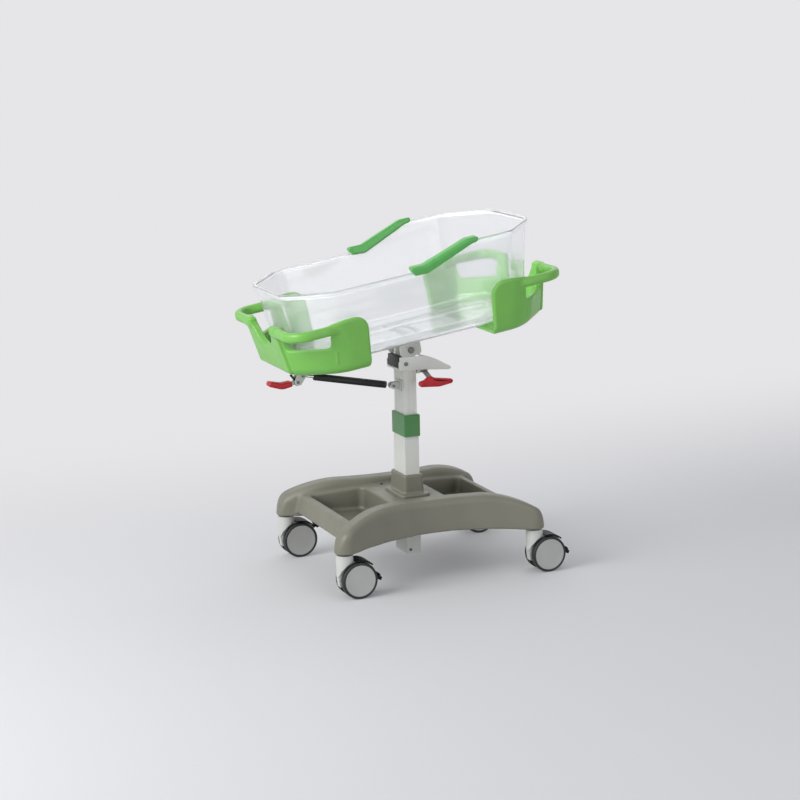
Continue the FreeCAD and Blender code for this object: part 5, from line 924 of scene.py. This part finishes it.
def shell_field(along, across, up):
    """Signed distance to the leaning wall on its thin shelf: the outer form with the end's plate, less
    the hollow for the tub, under a crest that falls in a soft S from the cheek to the end."""
    end, corner, side = bracket_sides(along, across, up)
    inner = rounded_both(rounded_both(end, corner, 3), side, 3) + SHELL_WALL
    hollow = rounded_both(inner, SHELL_FOOT + SHELL_SHELF - up, 5)
    fall = np.clip((along - CREST_START) / CREST_LENGTH, 0, 1)
    crest = SHELL_CREST - (SHELL_CREST - SHELL_TOP) * fall * fall * (3 - 2 * fall)
    plate = rounded_both(end - PLATE_PROUD, across - SHELL_END - 2.5, 3)
    plate = np.maximum(rounded_both(plate, PLATE_FOOT - up, 9), -end - PLATE_DEPTH)
    wall = rounded_both(np.minimum(outer_field(along, across, up), plate), -hollow, 4)
    return rounded_both(wall, rounded_both(SHELL_FREE - along, up - crest, 38), 6)


def notch_field(along, across, up):
    """Signed distance to the hand notch in the end: its sides lean out upwards from a round floor."""
    share = np.clip((up - SHELL_SILL) / (NOTCH_LEVEL - SHELL_SILL), 0, 1)
    beside = across - NOTCH_SILL - (NOTCH_TOP - NOTCH_SILL) * share
    return np.maximum(rounded_both(NOTCH_SLANT * beside, SHELL_SILL - up, 20), NOTCH_INNER - along)


def bracket_field(along, across, up):
    """Signed distance to an end bracket, moulded in one piece.

    A leaning wall with large round corners stands on a thin shelf. It is cut down to a sill between
    the cheeks and the end's posts and in the end's hand notch, and the bars bridge the gaps.
    """
    window = rounded_both(WINDOW_START - along, WINDOW_SIDE - across, 10)
    window = rounded_both(window, SHELL_SILL - up, 9)
    wall = rounded_both(shell_field(along, across, up), -window, 5)
    wall = rounded_both(wall, -notch_field(along, across, up), 5)
    body = blended(wall, bar_field(along, across, up), 7)
    past_ends = up - np.clip(up, RIB_FOOT, RIB_TOP)
    past_face = outer_field(along, across, up) + RIB_SUNK
    rib = np.sqrt((along - RIB_X) ** 2 + past_face ** 2 + past_ends ** 2) - RIB_RADIUS
    rib = np.maximum(rib, RIB_INNER - across)
    slot = np.maximum(np.maximum(SLOT_NEAR - along, along - SLOT_FAR), across - SLOT_HALF)
    return np.maximum(np.minimum(body, rib), -np.maximum(slot, up - SLOT_TOP))


def make_brackets():
    """The two end brackets: one surface, and its mirror image at the foot."""
    step = bpy.context.scene.bassinet_sizes.bracket_grain / MM
    along, across, up = grid_over(BRACKET_LOW, BRACKET_HIGH, step)
    points, faces = surface_of(bracket_field(along, np.abs(across), up), BRACKET_LOW, step)
    for end, sign in (("head", 1), ("foot", -1)):
        spots = on_tub(points * MM * np.array([sign, 1, 1]))
        name = end + "_bracket"
        make_piece(name + "_moulded", [(spots, faces)], "cradle", "bracket_green", [name])


# ------------------------------------------------------------------ casters
PEDAL_TILT = math.radians(24)           # pressed pedals slope down by this much and released ones up
PEDAL_HALF, PEDAL_ROUND = 17.4 * MM, 2.4 * MM
WHEEL_RADIUS, TREAD_INNER, WHEEL_HALF = 50 * MM, 43 * MM, 9 * MM


def make_pedal_blades():
    """The wedge at the tip of each brake pedal, thick at the wheel and thin at the toe's side."""
    corners = np.array([(37.6, -4.4), (51.5, -4.4), (53.5, -2), (43, 11.5), (37.6, 12.5)]) * MM
    outline, normals = evened(*rounded_outline(corners, np.array([1.5, 1.5, 1.5, 3, 2]) * MM, 5), 3 * MM)
    rings = pillow(outline, normals, -PEDAL_HALF, PEDAL_HALF, PEDAL_ROUND, 5)
    for caster in CASTERS:
        tilt = PEDAL_TILT if caster == "far_foot_caster" else -PEDAL_TILT
        ahead = np.array([math.cos(tilt), 0, math.sin(tilt)])
        upward = np.array([-math.sin(tilt), 0, math.cos(tilt)])
        pin = JOINTS[caster + "_brake_pedal"]["pos_m"]
        blade = skin(placed(rings, pin, ahead, upward, Y_WAY))
        make_piece(caster + "_pedal_blade", [blade], caster + "_brake", "caster_black")


def tyre_profile(edge):
    """A tyre's section, from the hub's edge over the rounded tread: (radius, distance across)."""
    inner, outer, half = TREAD_INNER, WHEEL_RADIUS, WHEEL_HALF
    far = arc_points((outer - edge, half - edge), edge, 90, 0, 7)
    near = arc_points((outer - edge, edge - half), edge, 0, -90, 7)
    rows = [(inner, 0.75 * half), (inner + 0.6 * MM, half - 0.4 * MM), (inner + 1.6 * MM, half)]
    rows += far.tolist()
    rows += near.tolist()
    rows += [(inner + 1.6 * MM, -half), (inner + 0.6 * MM, 0.4 * MM - half), (inner, -0.75 * half)]
    return rows


HUB_PROFILE = np.array([
    (1, 8.75), (12, 8.75), (39.6, 8.45), (41.2, 8.75), (42.4, 8.7), (43.3, 7.9), (43.3, -6.0), (41.5, -7.8),
    (12, -7.8), (1, -7.8)]) * MM


def make_wheels():
    """The twin wheels of each caster: a tread with rounded shoulders and a dished hub."""
    edge = bpy.context.scene.bassinet_sizes.tread_round
    for caster in CASTERS:
        low, high = (np.array(corner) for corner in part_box(caster + "_tyres"))
        centre = (low + high) / 2
        spread = (high[1] - low[1]) / 2 - WHEEL_HALF
        body = caster + "_roll"
        treads, hubs = [], []
        for sign in (-1, 1):
            spot = centre + sign * spread * Y_WAY
            treads.append(skin(turned(tyre_profile(edge), spot, 80), looped=True))
            hubs.append(skin(turned(HUB_PROFILE * (1, sign), spot, 72)))
        make_piece(caster + "_treads", treads, body, "caster_tyre", [caster + "_tyres"], sharp=50)
        make_piece(caster + "_hub_faces", hubs, body, "hub_grey", [caster + "_hubs"], sharp=50)


# ------------------------------------------------------------------ stage
CAMERA_SPOT = np.array([-2.2861, -5.3996, 1.7130])
CAMERA_TURN = (-22.798, 11.944, -1.229)          # azimuth, elevation and roll in degrees
LENS_MM = 96.87


def make_camera():
    """The camera at the viewing angle: its axes come from azimuth, elevation and roll."""
    around, above, roll = (math.radians(angle) for angle in CAMERA_TURN)
    right = np.array([math.cos(around), math.sin(around), 0])
    level = np.array([math.sin(around), -math.cos(around), 0])
    back = math.cos(above) * level + math.sin(above) * Z_WAY
    up = np.cross(back, right)
    across = math.cos(roll) * right + math.sin(roll) * up
    upright = -math.sin(roll) * right + math.cos(roll) * up
    lens = bpy.data.cameras.new("Camera")
    lens.lens, lens.sensor_width = LENS_MM, 36
    lens.clip_start, lens.clip_end = 0.1, 60
    camera = bpy.data.objects.new("Camera", lens)
    bpy.context.scene.collection.objects.link(camera)
    matrix = Matrix(np.column_stack([across, upright, back]).tolist()).to_4x4()
    matrix.translation = Vector(CAMERA_SPOT + np.array([COLUMN_X, 0, 0]))
    camera.matrix_world = matrix
    bpy.context.scene.camera = camera


LAMPS = (   # name, place, aim, side of the square in metres, watts
    ("Key lamp", (-3.3, -0.7, 2.2), (0, 0, 0.5), 2.2, 116),
    ("Fill lamp", (0.9, -3.8, 1.0), (0, 0, 0.3), 2.0, 20),
    ("Back lamp", (1.4, 2.6, 2.7), (0, 0, 0.6), 4.4, 30),
)


def make_lamps():
    """Three large soft lamps and an even pale surround."""
    for name, place, aim, side, watts in LAMPS:
        data = bpy.data.lights.new(name, "AREA")
        data.size, data.energy = side, watts
        lamp = bpy.data.objects.new(name, data)
        lamp.location = place
        lamp.rotation_euler = (Vector(aim) - Vector(place)).to_track_quat("-Z", "Y").to_euler()
        bpy.context.scene.collection.objects.link(lamp)
    world = bpy.data.worlds.new("Surround")
    world.use_nodes = True
    tree = world.node_tree
    tree.nodes.clear()
    shade = add_node(tree, "ShaderNodeBackground", None, Color=(0.94, 0.955, 1.0, 1), Strength=0.6)
    output = add_node(tree, "ShaderNodeOutputWorld")
    tree.links.new(shade.outputs[0], output.inputs[0])
    bpy.context.scene.world = world


def matt_paper():
    """Matt pale paper that takes shadows beside the object and evens out to a pale glow behind it."""
    material, tree, output, place = new_material("paper_matt_pale_grey")
    shade = clouded(tree, place, bpy.context.scene.bassinet_colours.floor, 900, 0.006)
    shader = add_node(tree, "ShaderNodeBsdfPrincipled", None, Base_Color=shade, Roughness=0.75)
    depth = add_node(tree, "ShaderNodeSeparateXYZ", None, Vector=place).outputs["Y"]
    # Share of glow seen on the paper: 0.12 near the object, a painted light that lifts its cast shadow,
    # rising to all glow far behind.
    far = add_node(tree, "ShaderNodeMapRange", {"interpolation_type": "SMOOTHSTEP"}, Value=depth,
                   n1=-0.3, n2=2.0, n3=0.12, n4=1.0).outputs[0]
    path = add_node(tree, "ShaderNodeLightPath")
    seen = path.outputs["Is Camera Ray"]
    for kind in ("Is Glossy Ray", "Is Transmission Ray"):
        either = add_node(tree, "ShaderNodeMath", {"operation": "MAXIMUM"}, n0=seen, n1=path.outputs[kind])
        seen = either.outputs[0]
    share = add_node(tree, "ShaderNodeMath", {"operation": "MULTIPLY"}, n0=seen, n1=far).outputs[0]
    glow = add_node(tree, "ShaderNodeEmission", None, Color=(*linear("#E6E5E8"), 1), Strength=1.0)
    mixed = add_node(tree, "ShaderNodeMixShader", None, n0=share, n1=shader.outputs[0], n2=glow.outputs[0])
    tree.links.new(mixed.outputs[0], output.inputs[0])
    return material


SWEEP_HALF, SWEEP_FRONT, SWEEP_BACK, SWEEP_BEND, SWEEP_TOP = 7.0, -9.0, 3.2, 1.6, 7.0       # metres


def make_sweep():
    """The floor and backdrop: flat, then a quarter circle up to a wall, as one smooth sheet."""
    turn = np.linspace(0, math.pi / 2, 24)
    wall = SWEEP_BACK + SWEEP_BEND
    ys = np.concatenate([[SWEEP_FRONT, 0], SWEEP_BACK + SWEEP_BEND * np.sin(turn), [wall]])
    zs = np.concatenate([[0, 0], SWEEP_BEND - SWEEP_BEND * np.cos(turn), [SWEEP_TOP]])
    rows = np.stack([np.stack([np.full_like(ys, x), ys, zs], -1) for x in (-SWEEP_HALF, SWEEP_HALF)])
    count = len(ys)
    faces = [[index, index + 1, count + index + 1, count + index][::-1] for index in range(count - 1)]
    mesh = bpy.data.meshes.new("Backdrop")
    mesh.from_pydata(rows.reshape(-1, 3).tolist(), [], faces)
    mesh.polygons.foreach_set("use_smooth", np.ones(count - 1, bool))
    mesh.materials.append(matt_paper())
    sweep = bpy.data.objects.new("Backdrop", mesh)
    bpy.context.scene.collection.objects.link(sweep)


# ------------------------------------------------------------------ operators
def operator(name, label, text, job):
    """An operator that runs one job."""
    def execute(self, context):
        """Runs the job and reports that it is done."""
        job()
        return {"FINISHED"}

    return type("BASSINET_OT_" + name, (bpy.types.Operator,), {
        "__doc__": text, "bl_idname": "bassinet." + name, "bl_label": label, "execute": execute})


def make_stage():
    """Camera, lamps and backdrop."""
    make_camera()
    make_lamps()
    make_sweep()


OPERATORS = [
    operator("dress_frame", "Dress the frame", "Gives the CAD pieces their finishes.", dress_nodes),
    operator("add_tub", "Clear tub", "Adds the clear tub.", make_tub),
    operator("add_rim_grips", "Rim grips", "Adds the grips on the rim.", make_rim_grips),
    operator("add_levers", "Levers", "Adds the red release grips.", make_levers),
    operator("add_guard", "Lever guard", "Adds the folded guard over the lift lever.", make_guard),
    # The block added here paints the shade in the column head's open back.
    operator("add_block", "Cable block", "Adds the block in the column head's back.", make_painted_shadow_block),
    operator("add_strut", "Strut", "Adds the strut's sleeve.", make_strut),
    operator("add_base", "Base", "Adds the moulded base.", make_base),
    operator("add_boot", "Column boot", "Adds the boot round the column's foot.", make_boot),
    operator("add_brackets", "End brackets", "Adds the two moulded end brackets.", make_brackets),
    operator("add_wheels", "Wheels", "Adds treads and hubs.", make_wheels),
    operator("add_pedals", "Pedals", "Adds the blades of the brake pedals.", make_pedal_blades),
    operator("add_stage", "Stage", "Adds camera, lamps and backdrop.", make_stage),
]


class BASSINET_PT_sidebar(bpy.types.Panel):
    """Settings and builders of the bassinet."""
    bl_label = "Bassinet"
    bl_space_type = "VIEW_3D"
    bl_region_type = "UI"
    bl_category = "Bassinet"

    def draw(self, context):
        """Lists the settings, then one button for each builder."""
        for group in (context.scene.bassinet_sizes, context.scene.bassinet_colours):
            for key in group.__annotations__:
                self.layout.prop(group, key)
        for kind in OPERATORS:
            self.layout.operator(kind.bl_idname)


CLASSES = [BassinetColours, BassinetSizes, *OPERATORS, BASSINET_PT_sidebar]


def register():
    """Registers the classes and the scene's settings."""
    for kind in CLASSES:
        bpy.utils.register_class(kind)
    bpy.types.Scene.bassinet_colours = PointerProperty(type=BassinetColours)
    bpy.types.Scene.bassinet_sizes = PointerProperty(type=BassinetSizes)


def unregister():
    """Takes the settings and classes out again."""
    del bpy.types.Scene.bassinet_sizes
    del bpy.types.Scene.bassinet_colours
    for kind in reversed(CLASSES):
        bpy.utils.unregister_class(kind)


def main():
    """Builds every piece in order and writes both boxes."""
    bpy.context.scene.view_settings.view_transform = "Standard"
    register()
    for kind in OPERATORS:
        group, name = kind.bl_idname.split(".")
        getattr(getattr(bpy.ops, group), name)()
    bpy.context.view_layer.update()


if __name__ == "__main__":
    main()
